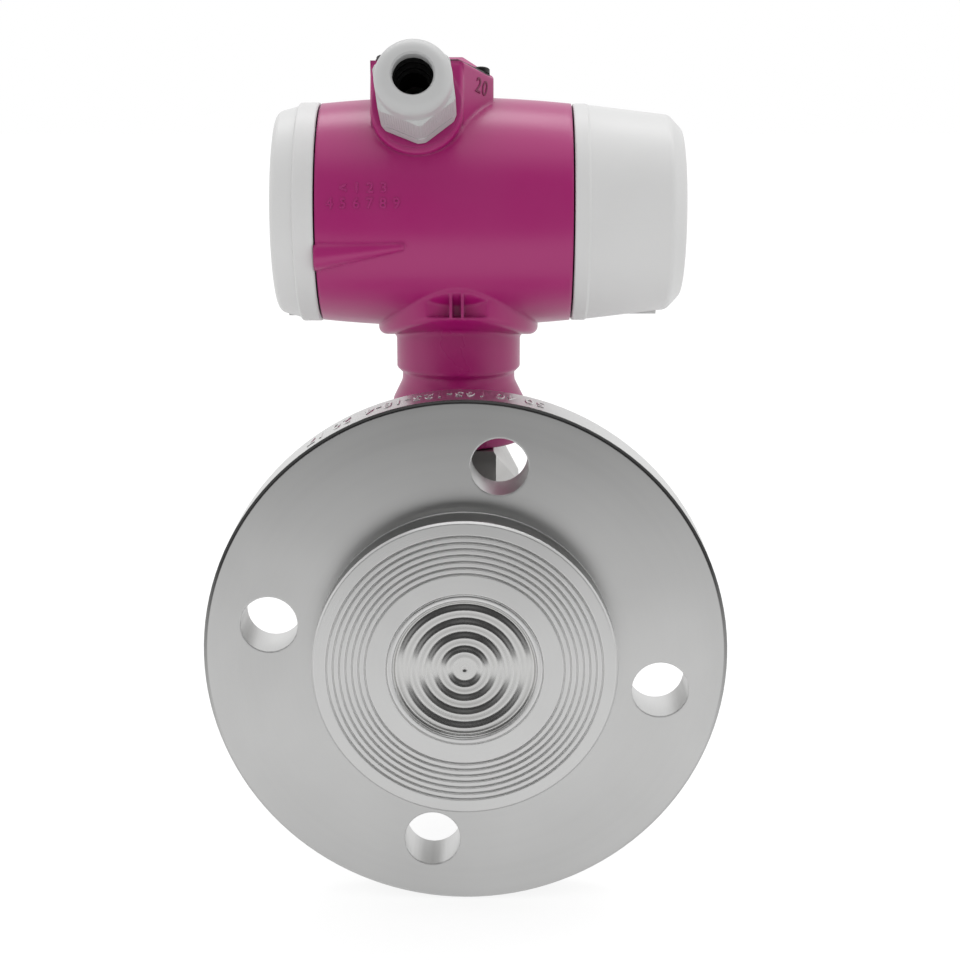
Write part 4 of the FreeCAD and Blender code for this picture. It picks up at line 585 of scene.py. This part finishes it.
@dataclass(frozen=True)
class BoardResist:
    """Solder resist over copper tracks and pads."""

    name: str
    tint: tuple[float, float, float]

    def make(self) -> bpy.types.Material:
        """Builds the material."""
        material, sheet, shader, place = new_material(self.name)
        tracks = sheet.add(
            "ShaderNodeTexVoronoi",
            {"Vector": place, "Scale": 420.0, "Randomness": 0.2},
            feature="DISTANCE_TO_EDGE",
            distance="EUCLIDEAN",
        ).outputs["Distance"]
        line = sheet.span(tracks, 0.03, 0.06, 1.0, 0.0)
        sheet.link(sheet.blend(line, colour(*self.tint), shade(self.tint, 1.7)), shader.inputs["Base Color"])
        sheet.link(sheet.span(tracks, 0.0, 0.1, 0.22, 0.34), shader.inputs["Roughness"])
        sheet.link(sheet.bump(line, 0.00003, 0.4), shader.inputs["Normal"])
        return material


ENTRY_OUT = math.cos(ENTRY_TILT)
ENTRY_UP = math.sin(ENTRY_TILT)
GLAND_SCREW = Screw((ENTRY_X, NECK_Y - ENTRY_REACH, ENTRY_Z), (0.0, -ENTRY_OUT, ENTRY_UP))
PLUG_SCREW = Screw((ENTRY_X, NECK_Y + ENTRY_REACH, ENTRY_Z), (0.0, ENTRY_OUT, ENTRY_UP))
TERMINAL_COVER_SCREW = Screw((TERMINAL_SEAM_X, NECK_Y, BARREL_Z), (-1.0, 0.0, 0.0), (0.0, 0.0, 1.0))
ELECTRONICS_COVER_SCREW = Screw((ELECTRONICS_SEAM_X, NECK_Y, BARREL_Z), (1.0, 0.0, 0.0), (0.0, 0.0, 1.0))

COVER_GREY = (0.60, 0.60, 0.598)
GLAND_GREY = (0.47, 0.472, 0.472)

# The flange's rim gets the painted dark reflection line at its front edge.
FLANGE_STEEL = TurnedSteel(
    "flange_steel", (0.68, 0.68, 0.675), feed=0.00026, roughness=0.31, dark_reflection_radius=FLANGE_RADIUS
)
SEAL_STEEL = TurnedSteel("seal_steel", (0.70, 0.70, 0.695), feed=0.00018, roughness=0.28, round_radius=0.0004)
FOIL_STEEL = TurnedSteel(
    "foil_steel", (0.64, 0.638, 0.63), feed=0.0009, roughness=0.2, bump=0.02, round_radius=0.0002
)
CELL_STEEL = MachinedSteel("cell_steel", (0.55, 0.545, 0.535))
BOLT_STEEL = MachinedSteel("bolt_steel", (0.58, 0.578, 0.57), stretch=(1.0, 5.0, 1.0), roughness=0.3)
GASKET_WHITE = Moulding("gasket_white", (0.72, 0.72, 0.69), roughness=0.5)
HOUSING_PAINT = PowderCoat(
    "housing_paint", (0.325, 0.004, 0.124), (0.40, 0.02, 0.18), roughness=0.31, round_radius=0.0016, ior=1.56
)
# Its pale second tint paints a highlight along the raised figures' edges.
CAST_MARK_PAINT = PowderCoat(
    "cast_mark_paint",
    (0.325, 0.0065, 0.128),
    (0.5, 0.12, 0.32),
    roughness=0.3,
    edge_radius=0.0002,
    round_radius=0.0001,
)
# Painted shade: these raised figures are painted dark to stand in for the shaded hollow of an engraving.
ENGRAVING_SHADE_PAINT = PowderCoat("painted_engraving_shade", (0.15, 0.004, 0.05), (0.2, 0.01, 0.08), roughness=0.5)
TERMINAL_COVER_PAINT = ScrewCover("terminal_cover_paint", COVER_GREY, TERMINAL_COVER_SCREW)
ELECTRONICS_COVER_PAINT = ScrewCover("electronics_cover_paint", COVER_GREY, ELECTRONICS_COVER_SCREW)
GLAND_PLASTIC = RibbedMoulding("gland_plastic", GLAND_GREY, GLAND_SCREW, low=9.0 * MM, high=20.5 * MM)
GLAND_THREAD = RibbedMoulding(
    "gland_thread", GLAND_GREY, GLAND_SCREW, low=8.4 * MM, high=40.0 * MM, threaded=True
)
PLUG_STEEL = ThreadedSteel("plug_steel", (0.58, 0.578, 0.57), PLUG_SCREW)
BLACK_RUBBER = Moulding("black_rubber", (0.008, 0.008, 0.008), roughness=0.7)
PLATE_BLACK = PowderCoat("plate_black", (0.022, 0.022, 0.024), (0.12, 0.12, 0.12), roughness=0.35)
SCREW_BLACK = MachinedSteel("screw_black", (0.05, 0.05, 0.05), roughness=0.4)
SCREW_STEEL = MachinedSteel("screw_steel", (0.56, 0.56, 0.55), roughness=0.3)
BLOCK_PLASTIC = Moulding("block_plastic", (0.05, 0.055, 0.06), roughness=0.5)
TERMINAL_METAL = MachinedSteel("terminal_metal", (0.62, 0.57, 0.46), roughness=0.28)
MODULE_PLASTIC = Moulding("module_plastic", (0.03, 0.045, 0.10), roughness=0.48)
BOARD_GREEN = BoardResist("board_green", (0.012, 0.11, 0.045))
KEY_PLASTIC = Moulding("key_plastic", (0.5, 0.5, 0.48), roughness=0.4)
SEALED_BLACK = Moulding("glass_seal", (0.03, 0.03, 0.03), roughness=0.25)
LABEL_WHITE = Moulding("label_white", (0.62, 0.62, 0.60), roughness=0.5)
CHIP_BLACK = Moulding("chip_black", (0.02, 0.02, 0.022), roughness=0.38)

# Record slot of each finish that shares another finish's slot.
SHARED_SLOTS = {
    "painted_engraving_shade": "housing_paint",
    "cast_mark_paint": "housing_paint",
    "terminal_cover_paint": "cover_paint",
    "electronics_cover_paint": "cover_paint",
    "gland_thread": "gland_plastic",
    "label_white": "gasket_white",
    "chip_black": "module_plastic",
}


class Finishes:
    """Builds each finish once and puts it on solids and pieces."""

    def __init__(self) -> None:
        """Starts with no material built."""
        self._made: dict[str, bpy.types.Material] = {}

    def get(self, finish: object) -> bpy.types.Material:
        """Material of a finish, built on first use."""
        if finish.name not in self._made:
            self._made[finish.name] = finish.make()
        return self._made[finish.name]

    def dress(self, item: bpy.types.Object, finish: object) -> None:
        """Gives an object one finish all over.

        Args:
            item: object to dress.
            finish: finish dataclass with a make method.
        """
        material = self.get(finish)
        if not item.material_slots:
            item.data.materials.append(material)
        for slot in item.material_slots:
            slot.material = material
        LOG.info("dressed %s in %s", item.name, finish.name)


# ---------------------------------------------------------------- surfaces
def grid_mesh(name: str, points: np.ndarray) -> bpy.types.Object:
    """Closed mesh object from a grid of points whose rows and columns both join up, made of quads.

    Args:
        name: object name.
        points: array of shape (rows, columns, 3).

    Returns:
        The new object, at the origin.
    """
    rows, columns = points.shape[:2]
    index = np.arange(rows * columns).reshape(rows, columns)
    down = np.roll(index, -1, axis=0)
    quads = np.stack([index, np.roll(index, -1, axis=1), np.roll(down, -1, axis=1), down], axis=-1)
    return mesh_object(name, points.reshape(-1, 3), quads.reshape(-1, 4))


def mesh_object(name: str, points: np.ndarray, faces: np.ndarray, smooth: bool = True) -> bpy.types.Object:
    """Mesh object from points and faces of one size.

    Args:
        name: object name.
        points: (n, 3) places in metres.
        faces: (m, k) point numbers.
        smooth: shades the faces smooth.

    Returns:
        The new object, linked to the scene.
    """
    mesh = bpy.data.meshes.new(name)
    mesh.from_pydata(points.tolist(), [], faces.tolist())
    mesh.polygons.foreach_set("use_smooth", np.full(len(mesh.polygons), smooth))
    mesh.validate()
    mesh.update()
    item = bpy.data.objects.new(name, mesh)
    bpy.context.scene.collection.objects.link(item)
    return item


def turned_surface(
    name: str,
    radii: np.ndarray,
    heights: np.ndarray,
    frame: Frame,
    sides: int,
    ripple: float = 0.0,
    waves: int = 0,
) -> bpy.types.Object:
    """Closed surface of revolution about a frame's axis.

    The profile's points are (radius, height). Each is carried round the axis, and a height other than
    zero gains ripple times the cosine of waves times the angle.

    Args:
        name: object name.
        radii: distances from the axis along the closed profile.
        heights: distances along the axis.
        frame: where the axis starts and points.
        sides: steps round the axis.
        ripple: amplitude of the height's ripple.
        waves: ripples per turn.

    Returns:
        The new object.
    """
    angles = np.linspace(0.0, 2.0 * np.pi, sides, endpoint=False)
    lift = ripple * np.cos(waves * angles)[None, :] * (np.abs(heights) > 0)[:, None]
    across = radii[:, None] * np.cos(angles)[None, :]
    along = radii[:, None] * np.sin(angles)[None, :]
    up = heights[:, None] + lift
    return grid_mesh(name, frame.carry(across, along, up))


@dataclass(frozen=True)
class Frame:
    """A local frame: origin, and the directions of local X and Z."""

    origin: tuple[float, float, float]
    x_axis: tuple[float, float, float]
    z_axis: tuple[float, float, float]

    def carry(self, x: np.ndarray, y: np.ndarray, z: np.ndarray) -> np.ndarray:
        """Places local coordinates in the row frame.

        Args:
            x: local X values.
            y: local Y values.
            z: local Z values.

        Returns:
            Array with a last axis of three.
        """
        first = np.array(self.x_axis)
        third = np.array(self.z_axis)
        second = np.cross(third, first)
        return np.array(self.origin) + x[..., None] * first + y[..., None] * second + z[..., None] * third

    def lay(self, points: np.ndarray) -> np.ndarray:
        """Places (n, 3) local points in the row frame."""
        return self.carry(points[:, 0], points[:, 1], points[:, 2])


def glyphs(name: str, text: str, height: float, depth: float) -> tuple[np.ndarray, list[tuple[int, ...]]]:
    """Points and faces of extruded figures, centred on the local origin.

    Args:
        name: name for the scratch curve.
        text: figures to set.
        height: height of a figure in metres.
        depth: thickness in metres.

    Returns:
        Points (n, 3) and faces.
    """
    curve = bpy.data.curves.new(name, "FONT")
    curve.body = text
    curve.size = height / 0.7
    curve.extrude = depth / 2.0
    curve.bevel_depth = height * 0.02
    curve.resolution_u = 3
    curve.space_character = 1.15
    curve.align_x = "CENTER"
    curve.align_y = "CENTER"
    item = bpy.data.objects.new(name, curve)
    bpy.context.scene.collection.objects.link(item)
    bpy.context.view_layer.update()
    mesh = bpy.data.meshes.new_from_object(item.evaluated_get(bpy.context.evaluated_depsgraph_get()))
    points = np.zeros(len(mesh.vertices) * 3)
    mesh.vertices.foreach_get("co", points)
    faces = [tuple(polygon.vertices) for polygon in mesh.polygons]
    bpy.data.objects.remove(item)
    bpy.data.curves.remove(curve)
    bpy.data.meshes.remove(mesh)
    return points.reshape(-1, 3), faces


def glyph_piece(
    name: str, text: str, height: float, depth: float, place: Callable[[np.ndarray], np.ndarray]
) -> bpy.types.Object:
    """Raised figures laid on a surface.

    Args:
        name: object name.
        text: figures to set.
        height: figure height in metres.
        depth: thickness in metres.
        place: maps local points (x along the line, y up, z out) to the row frame.

    Returns:
        The new object.
    """
    points, faces = glyphs(name + "_curve", text, height, depth)
    mesh = bpy.data.meshes.new(name)
    mesh.from_pydata(place(points).tolist(), [], faces)
    mesh.update()
    item = bpy.data.objects.new(name, mesh)
    bpy.context.scene.collection.objects.link(item)
    return item


def barrel_radius(x: np.ndarray) -> np.ndarray:
    """Radius of the bulging barrel at x from the neck axis: the arc through both ends and the middle."""
    arc = 395.0 * MM
    return 36.6 * MM - (arc - np.sqrt(arc**2 - (x + 3.7 * MM) ** 2))


def on_barrel(x_centre: float, tilt: float) -> Callable[[np.ndarray], np.ndarray]:
    """Placement on the barrel's front: x along it, y round it, z out of it.

    Args:
        x_centre: centre of the marks from the neck axis, in metres.
        tilt: angle of the marks above the barrel's front line, in radians.

    Returns:
        A function from local points to the row frame.
    """

    def place(points: np.ndarray) -> np.ndarray:
        x = points[:, 0] + x_centre
        radius = barrel_radius(x)
        angle = tilt + points[:, 1] / radius
        out = radius + points[:, 2]
        return np.stack([x + NECK_X, NECK_Y - out * np.cos(angle), BARREL_Z + out * np.sin(angle)], axis=-1)

    return place


def on_rim(radius: float, depth: float, turn: float, narrow: float) -> Callable[[np.ndarray], np.ndarray]:
    """Placement on the flange's rim, read from behind: x round the rim, y towards the process.

    Args:
        radius: rim radius in metres.
        depth: distance of the line behind the front face.
        turn: angle of the line's middle from the top, towards +X, in radians.
        narrow: share of their width that the figures keep.

    Returns:
        A function from local points to the row frame.
    """

    def place(points: np.ndarray) -> np.ndarray:
        angle = turn - points[:, 0] * narrow / radius
        out = radius + points[:, 2]
        return np.stack([out * np.sin(angle), depth - points[:, 1], out * np.cos(angle)], axis=-1)

    return place


# ---------------------------------------------------------------- sub-assemblies
@dataclass
class SubAssembly:
    """Base of all sub-assemblies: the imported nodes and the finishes."""

    nodes: dict[str, bpy.types.Object]
    finishes: Finishes

    def dress(self, table: dict[str, object]) -> None:
        """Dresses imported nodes.

        Args:
            table: node name to finish.
        """
        for name, finish in table.items():
            self.finishes.dress(self.nodes[name], finish)

    def add(self, piece: bpy.types.Object, body: str, finish: object) -> bpy.types.Object:
        """Dresses a new piece and lets it ride on a body."""
        self.finishes.dress(piece, finish)
        SHARED_SLOTS.get(finish.name, finish.name)
        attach(piece, body)
        return piece


@dataclass
class ProcessSide(SubAssembly):
    """Flange, grooved seal disc and the corrugated diaphragm."""

    face_y: float = -12.3 * MM
    foil_radius: float = 24.5 * MM
    foil_thickness: float = 0.3 * MM
    wave_pitch: float = 4.5 * MM
    first_crest: float = 5.7 * MM
    last_wave: float = 21.3 * MM
    edge_radius: float = 22.2 * MM
    wave_height: float = 0.45 * MM

    def build(self) -> None:
        """Dresses the solids and makes the foil, its weld and the rim's figures."""
        self.dress({"process_flange": FLANGE_STEEL, "seal_disc": SEAL_STEEL, "process_diaphragm": FOIL_STEEL})
        foil = self.add(self.diaphragm(), "cell", FOIL_STEEL)
        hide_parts("process_diaphragm")
        self.add(self.weld(), "cell", SEAL_STEEL)
        self.rim_figures()

    def wave(self, radius: np.ndarray) -> np.ndarray:
        """Height of the foil: a cosine of the radius, flat in the middle, rising to the rim at the end."""
        wave = self.wave_height * (np.cos(2.0 * np.pi * (radius - self.first_crest) / self.wave_pitch) - 1.0)
        flat_end = self.first_crest - self.wave_pitch / 2.0
        wave = np.where(radius < flat_end, -2.0 * self.wave_height, wave)
        pip = 0.3 * MM * np.exp(-((radius / (0.55 * MM)) ** 2))
        outer = np.clip((radius - self.last_wave) / (self.edge_radius - self.last_wave), 0.0, 1.0)
        rim = -2.0 * self.wave_height * (1.0 - outer * outer * (3.0 - 2.0 * outer))
        return np.where(radius > self.last_wave, rim, wave) - pip

    def diaphragm(self) -> bpy.types.Object:
        """Smooth corrugated foil as a closed shell, front and back offset by the thickness."""
        radii = np.linspace(0.0, self.foil_radius, 150)[1:]
        profile_r = np.concatenate([[1e-6], radii, radii[::-1], [1e-6]])
        front = self.wave(np.concatenate([[0.0], radii]))
        profile_h = np.concatenate([front, (front - self.foil_thickness)[::-1]])
        frame = Frame((0.0, self.face_y, 0.0), (1.0, 0.0, 0.0), (0.0, -1.0, 0.0))
        return turned_surface("diaphragm_foil", profile_r, profile_h, frame, 144)

    def weld(self) -> bpy.types.Object:
        """Flat rippled weld bead between foil and disc: a low arch carried round the axis."""
        across = np.linspace(0.0, np.pi, 9)
        radii = 23.3 * MM + 1.05 * MM * np.cos(across)
        heights = 0.045 * MM * np.sin(across)
        radii = np.concatenate([radii, [22.6 * MM, 24.0 * MM]])
        heights = np.concatenate([heights, [-0.05 * MM, -0.05 * MM]])
        frame = Frame((0.0, self.face_y, 0.0), (1.0, 0.0, 0.0), (0.0, -1.0, 0.0))
        return turned_surface("diaphragm_weld", radii, heights, frame, 720, 0.006 * MM, 180)

    def rim_figures(self) -> None:
        """Plain stamped dimension figures on the flange's rim."""
        figures = glyph_piece(
            "rim_figures",
            "50 40 165-125-18-4  20 17",
            6.4 * MM,
            0.22 * MM,
            on_rim(FLANGE_RADIUS, 9.6 * MM, math.radians(-9.5), 0.67),
        )
        self.add(figures, "cell", SEAL_STEEL)


@dataclass
class MeasuringCell(SubAssembly):
    """Cell capsule, neck, rear flange and their fasteners."""

    def build(self) -> None:
        """Dresses the solids."""
        self.dress(
            {
                "sensor_body": CELL_STEEL,
                "isolating_diaphragms": FOIL_STEEL,
                "front_cell_gasket": GASKET_WHITE,
                "rear_cell_gasket": GASKET_WHITE,
                "low_pressure_flange": CELL_STEEL,
                "side_plug": BOLT_STEEL,
                "cell_bolts": BOLT_STEEL,
                "cell_washers": BOLT_STEEL,
                "sensor_header": SEALED_BLACK,
                "neck_oring": BLACK_RUBBER,
            }
        )


@dataclass
class Head(SubAssembly):
    """Painted housing with its covers and small hardware."""

    def build(self) -> None:
        """Dresses the solids and adds the cast figures."""
        self.dress(
            {
                "housing": HOUSING_PAINT,
                "neck_lock_screw": SCREW_BLACK,
                "cover_lock_screws": SCREW_STEEL,
                "terminal_cover": TERMINAL_COVER_PAINT,
                "terminal_cover_oring": BLACK_RUBBER,
                "electronics_cover": ELECTRONICS_COVER_PAINT,
                "electronics_cover_oring": BLACK_RUBBER,
                "nameplate": PLATE_BLACK,
                "nameplate_screws": SCREW_BLACK,
                "earth_clamp": SCREW_STEEL,
                "earth_screw": SCREW_STEEL,
            }
        )
        self.cast_figures()

    def cast_figures(self) -> None:
        """Raised chevron with plain figures by the terminal cover, and figures on the saddle's side painted dark
        as the shade of an engraving.
        """
        lines = {"upper": ("< 1 2 3", 17.5), "lower": ("4 5 6 7 8 9", 10.0)}
        for row, (text, tilt) in lines.items():
            place = on_barrel(-28.4 * MM, math.radians(tilt))
            marks = glyph_piece(f"cast_figures_{row}", text, 3.1 * MM, 0.5 * MM, place)
            self.add(marks, "head", CAST_MARK_PAINT)
        slope = math.radians(17.2)
        seat = (NECK_X + 7.64 * MM, NECK_Y - 13.56 * MM, 174.4 * MM)
        along = (0.528 * math.cos(slope), 0.849 * math.cos(slope), -math.sin(slope))
        face = Frame(seat, along, (0.8493, -0.528, 0.0))
        # Painted shade: raised figures painted dark stand in for a shaded engraving.
        size_mark = glyph_piece("entry_size_mark", "20", 4.6 * MM, 0.16 * MM, face.lay)
        self.add(size_mark, "head", ENGRAVING_SHADE_PAINT)


@dataclass
class CableEntries(SubAssembly):
    """Plastic gland at the front and blind plug at the rear."""

    def build(self) -> None:
        """Dresses the solids."""
        self.dress(
            {
                "gland_body": GLAND_THREAD,
                "gland_oring": BLACK_RUBBER,
                "gland_nut": GLAND_PLASTIC,
                "gland_seal": BLACK_RUBBER,
                "gland_slip_ring": BLACK_RUBBER,
                "blind_plug": PLUG_STEEL,
                "blind_plug_oring": BLACK_RUBBER,
            }
        )


@dataclass
class Insides(SubAssembly):
    """Terminals and electronics behind the covers."""

    def build(self) -> None:
        """Dresses the solids, numbers the terminals and fills the board."""
        self.dress(
            {
                "terminal_block": BLOCK_PLASTIC,
                "terminal_plates": TERMINAL_METAL,
                "terminal_screws": TERMINAL_METAL,
                "terminal_block_screws": SCREW_STEEL,
                "feedthrough": SEALED_BLACK,
                "electronics_module": MODULE_PLASTIC,
                "electronics_board": BOARD_GREEN,
                "board_screws": SCREW_STEEL,
                "key_frame": BLOCK_PLASTIC,
                "zero_key": KEY_PLASTIC,
                "span_key": KEY_PLASTIC,
                "inner_earth_screw": TERMINAL_METAL,
            }
        )
        for index in range(3):
            y = NECK_Y + (1 - index) * TERMINAL_STEP
            seat = Frame((BLOCK_FRONT_X, y, BARREL_Z - 9.2 * MM), (0.0, -1.0, 0.0), (-1.0, 0.0, 0.0))
            figure = glyph_piece(f"terminal_figure_{index + 1}", str(index + 1), 3.2 * MM, 0.08 * MM, seat.lay)
            self.add(figure, "head", LABEL_WHITE)
        self.add(self.board_parts(), "head", CHIP_BLACK)

    def board_parts(self) -> bpy.types.Object:
        """Chips and a socket on the board: boxes by centre, width, height and thickness in millimetres."""
        sizes = (
            (-9.0, 12.5, 7.0, 7.0, 1.1),
            (3.5, 12.0, 5.0, 4.0, 1.3),
            (11.0, 10.5, 3.0, 5.0, 1.0),
            (-1.0, -13.0, 13.0, 4.2, 3.2),
            (-13.0, -9.5, 3.4, 3.4, 1.6),
            (12.0, -10.0, 3.0, 2.0, 0.8),
            (15.5, 2.0, 2.0, 3.2, 0.8),
            (-16.0, 1.5, 2.0, 3.2, 0.8),
        )
        corners, faces = [], []
        for y, z, width, height, thickness in sizes:
            start = len(corners)
            for x in (0.02, thickness):
                for dy, dz in ((-1, -1), (1, -1), (1, 1), (-1, 1)):
                    across = NECK_Y + (y + dy * width / 2) * MM
                    up = BARREL_Z + (z + dz * height / 2) * MM
                    corners.append((BOARD_FACE_X + x * MM, across, up))
            quads = ((3, 2, 1, 0), (4, 5, 6, 7), (0, 1, 5, 4), (1, 2, 6, 5), (2, 3, 7, 6), (3, 0, 4, 7))
            faces += [[start + corner for corner in quad] for quad in quads]
        return mesh_object("board_parts", np.array(corners), np.array(faces), smooth=False)


# ---------------------------------------------------------------- studio
@dataclass(frozen=True)
class Lamp:
    """Soft rectangular lamp aimed at a point."""

    name: str
    place: tuple[float, float, float]
    target: tuple[float, float, float]
    size: tuple[float, float]
    power: float

    def make(self) -> None:
        """Builds the lamp."""
        data = bpy.data.lights.new(self.name, "AREA")
        data.shape = "RECTANGLE"
        data.size, data.size_y = self.size
        data.energy = self.power
        lamp = bpy.data.objects.new(self.name, data)
        lamp.location = self.place
        aim = Vector(self.target) - Vector(self.place)
        lamp.rotation_euler = aim.to_track_quat("-Z", "Y").to_euler()
        bpy.context.scene.collection.objects.link(lamp)


@dataclass(frozen=True)
class Studio:
    """Pale floor, overhead lamp, world and camera."""

    floor_z: float = -83.0 * MM
    camera_place: tuple[float, float, float] = (8.9 * MM, -567.6 * MM, 196.9 * MM)
    camera_pitch: float = -0.2409
    camera_yaw: float = 0.0075
    lens: float = 71.25
    lamps: tuple[Lamp, ...] = (Lamp("overhead", (0.1, 0.52, 1.15), (0.0, 0.05, 0.12), (1.8, 0.4), 7.2),)

    def build(self) -> None:
        """Builds everything around the object."""
        self.floor()
        self.world()
        for lamp in self.lamps:
            lamp.make()
        self.camera()
        bpy.context.scene.view_settings.view_transform = "Standard"

    def floor(self) -> None:
        """Large pale floor that shows white but keeps a soft shadow; in reflections it glows with a painted
        shadow just in front of the object and painted darkness far ahead.
        """
        half = 4.0
        corners = np.array([[-half, -half, 0], [half, -half, 0], [half, half, 0], [-half, half, 0]], float)
        corners[:, 2] = self.floor_z
        floor = mesh_object("floor", corners, np.array([[0, 1, 2, 3]]), smooth=False)
        material = bpy.data.materials.new("pale_floor")
        material.use_nodes = True
        material.node_tree.nodes.clear()
        sheet = NodeSheet(material.node_tree)
        place = sheet.add("ShaderNodeTexCoord").outputs["Object"]
        grain = sheet.noise(place, 140.0, 4.0)
        shade = sheet.blend(grain, colour(0.93, 0.93, 0.93), colour(0.95, 0.95, 0.95))
        matt = sheet.add("ShaderNodeBsdfDiffuse", {"Color": shade})
        # Painted shade seen only in reflections: the floor's glow is dimmed close in front of the object as a
        # painted contact shadow, and fades almost to black far ahead.
        ahead = sheet.math("MULTIPLY", sheet.add("ShaderNodeSeparateXYZ", {0: place}).outputs[1], -1.0)
        close = sheet.span(ahead, 0.0, 0.15, 0.7, 1.0)
        behind = sheet.span(ahead, -0.06, 0.0, 1.0, 0.0)
        far = sheet.span(ahead, 0.46, 0.66, 1.0, 0.04)
        tone = sheet.math("MULTIPLY", sheet.math("MAXIMUM", close, behind), far)
        path = sheet.add("ShaderNodeLightPath")
        strength = sheet.mix(path.outputs["Is Glossy Ray"], 1.12, tone)
        glow = sheet.add("ShaderNodeEmission", {"Color": WHITE, "Strength": strength})
        straight = sheet.math("MAXIMUM", path.outputs["Is Camera Ray"], path.outputs["Is Transmission Ray"])
        mirrored = sheet.math("MULTIPLY", path.outputs["Is Glossy Ray"], 0.96)
        share = sheet.math("MAXIMUM", sheet.math("MULTIPLY", straight, 0.72), mirrored)
        mixed = sheet.add("ShaderNodeMixShader", {0: share, 1: matt.outputs[0], 2: glow.outputs[0]})
        sheet.add("ShaderNodeOutputMaterial", {"Surface": mixed.outputs[0]})
        floor.data.materials.append(material)

    def world(self) -> None:
        """White seen straight on, plain even light for the object, and a dark room in front for reflections."""
        world = bpy.data.worlds.new("studio")
        bpy.context.scene.world = world
        world.use_nodes = True
        world.node_tree.nodes.clear()
        sheet = NodeSheet(world.node_tree)
        path = sheet.add("ShaderNodeLightPath")
        way = sheet.add("ShaderNodeSeparateXYZ", {0: sheet.add("ShaderNodeTexCoord").outputs["Generated"]})
        steep = sheet.math("MULTIPLY", way.outputs[2], way.outputs[2])
        flat = sheet.math("SQRT", sheet.math("SUBTRACT", 1.0001, steep))
        facing = sheet.math("DIVIDE", sheet.math("MULTIPLY", way.outputs[1], -1.0), flat)
        low = sheet.span(facing, 0.1, 0.75, 1.0, 0.05)
        room = sheet.math("MAXIMUM", low, sheet.span(way.outputs[2], 0.72, 0.93, 0.0, 1.25))
        light = sheet.mix(path.outputs["Is Glossy Ray"], 0.98, room)
        seen = sheet.math("MAXIMUM", path.outputs["Is Camera Ray"], path.outputs["Is Transmission Ray"])
        level = sheet.mix(seen, light, 1.0)
        background = sheet.add("ShaderNodeBackground", {"Color": WHITE, "Strength": level})
        sheet.add("ShaderNodeOutputWorld", {"Surface": background.outputs[0]})

    def camera(self) -> None:
        """Camera in front of and above the flange."""
        data = bpy.data.cameras.new("camera")
        data.lens = self.lens
        data.sensor_width = 36.0
        data.clip_start = 0.01
        camera = bpy.data.objects.new("camera", data)
        camera.location = self.camera_place
        camera.rotation_euler = (math.pi / 2.0 + self.camera_pitch, 0.0, self.camera_yaw)
        bpy.context.scene.collection.objects.link(camera)
        bpy.context.scene.camera = camera


def main() -> None:
    """Loads the solids, dresses them and builds the studio."""
    logging.basicConfig(level=logging.INFO, format="%(message)s")
    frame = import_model()
    finishes = Finishes()
    nodes = frame["nodes"]
    Studio().build()
    for kind in (ProcessSide, MeasuringCell, Head, CableEntries, Insides):
        kind(nodes, finishes).build()
        LOG.info("built %s", kind.__name__)


if __name__ == "__main__":
    main()
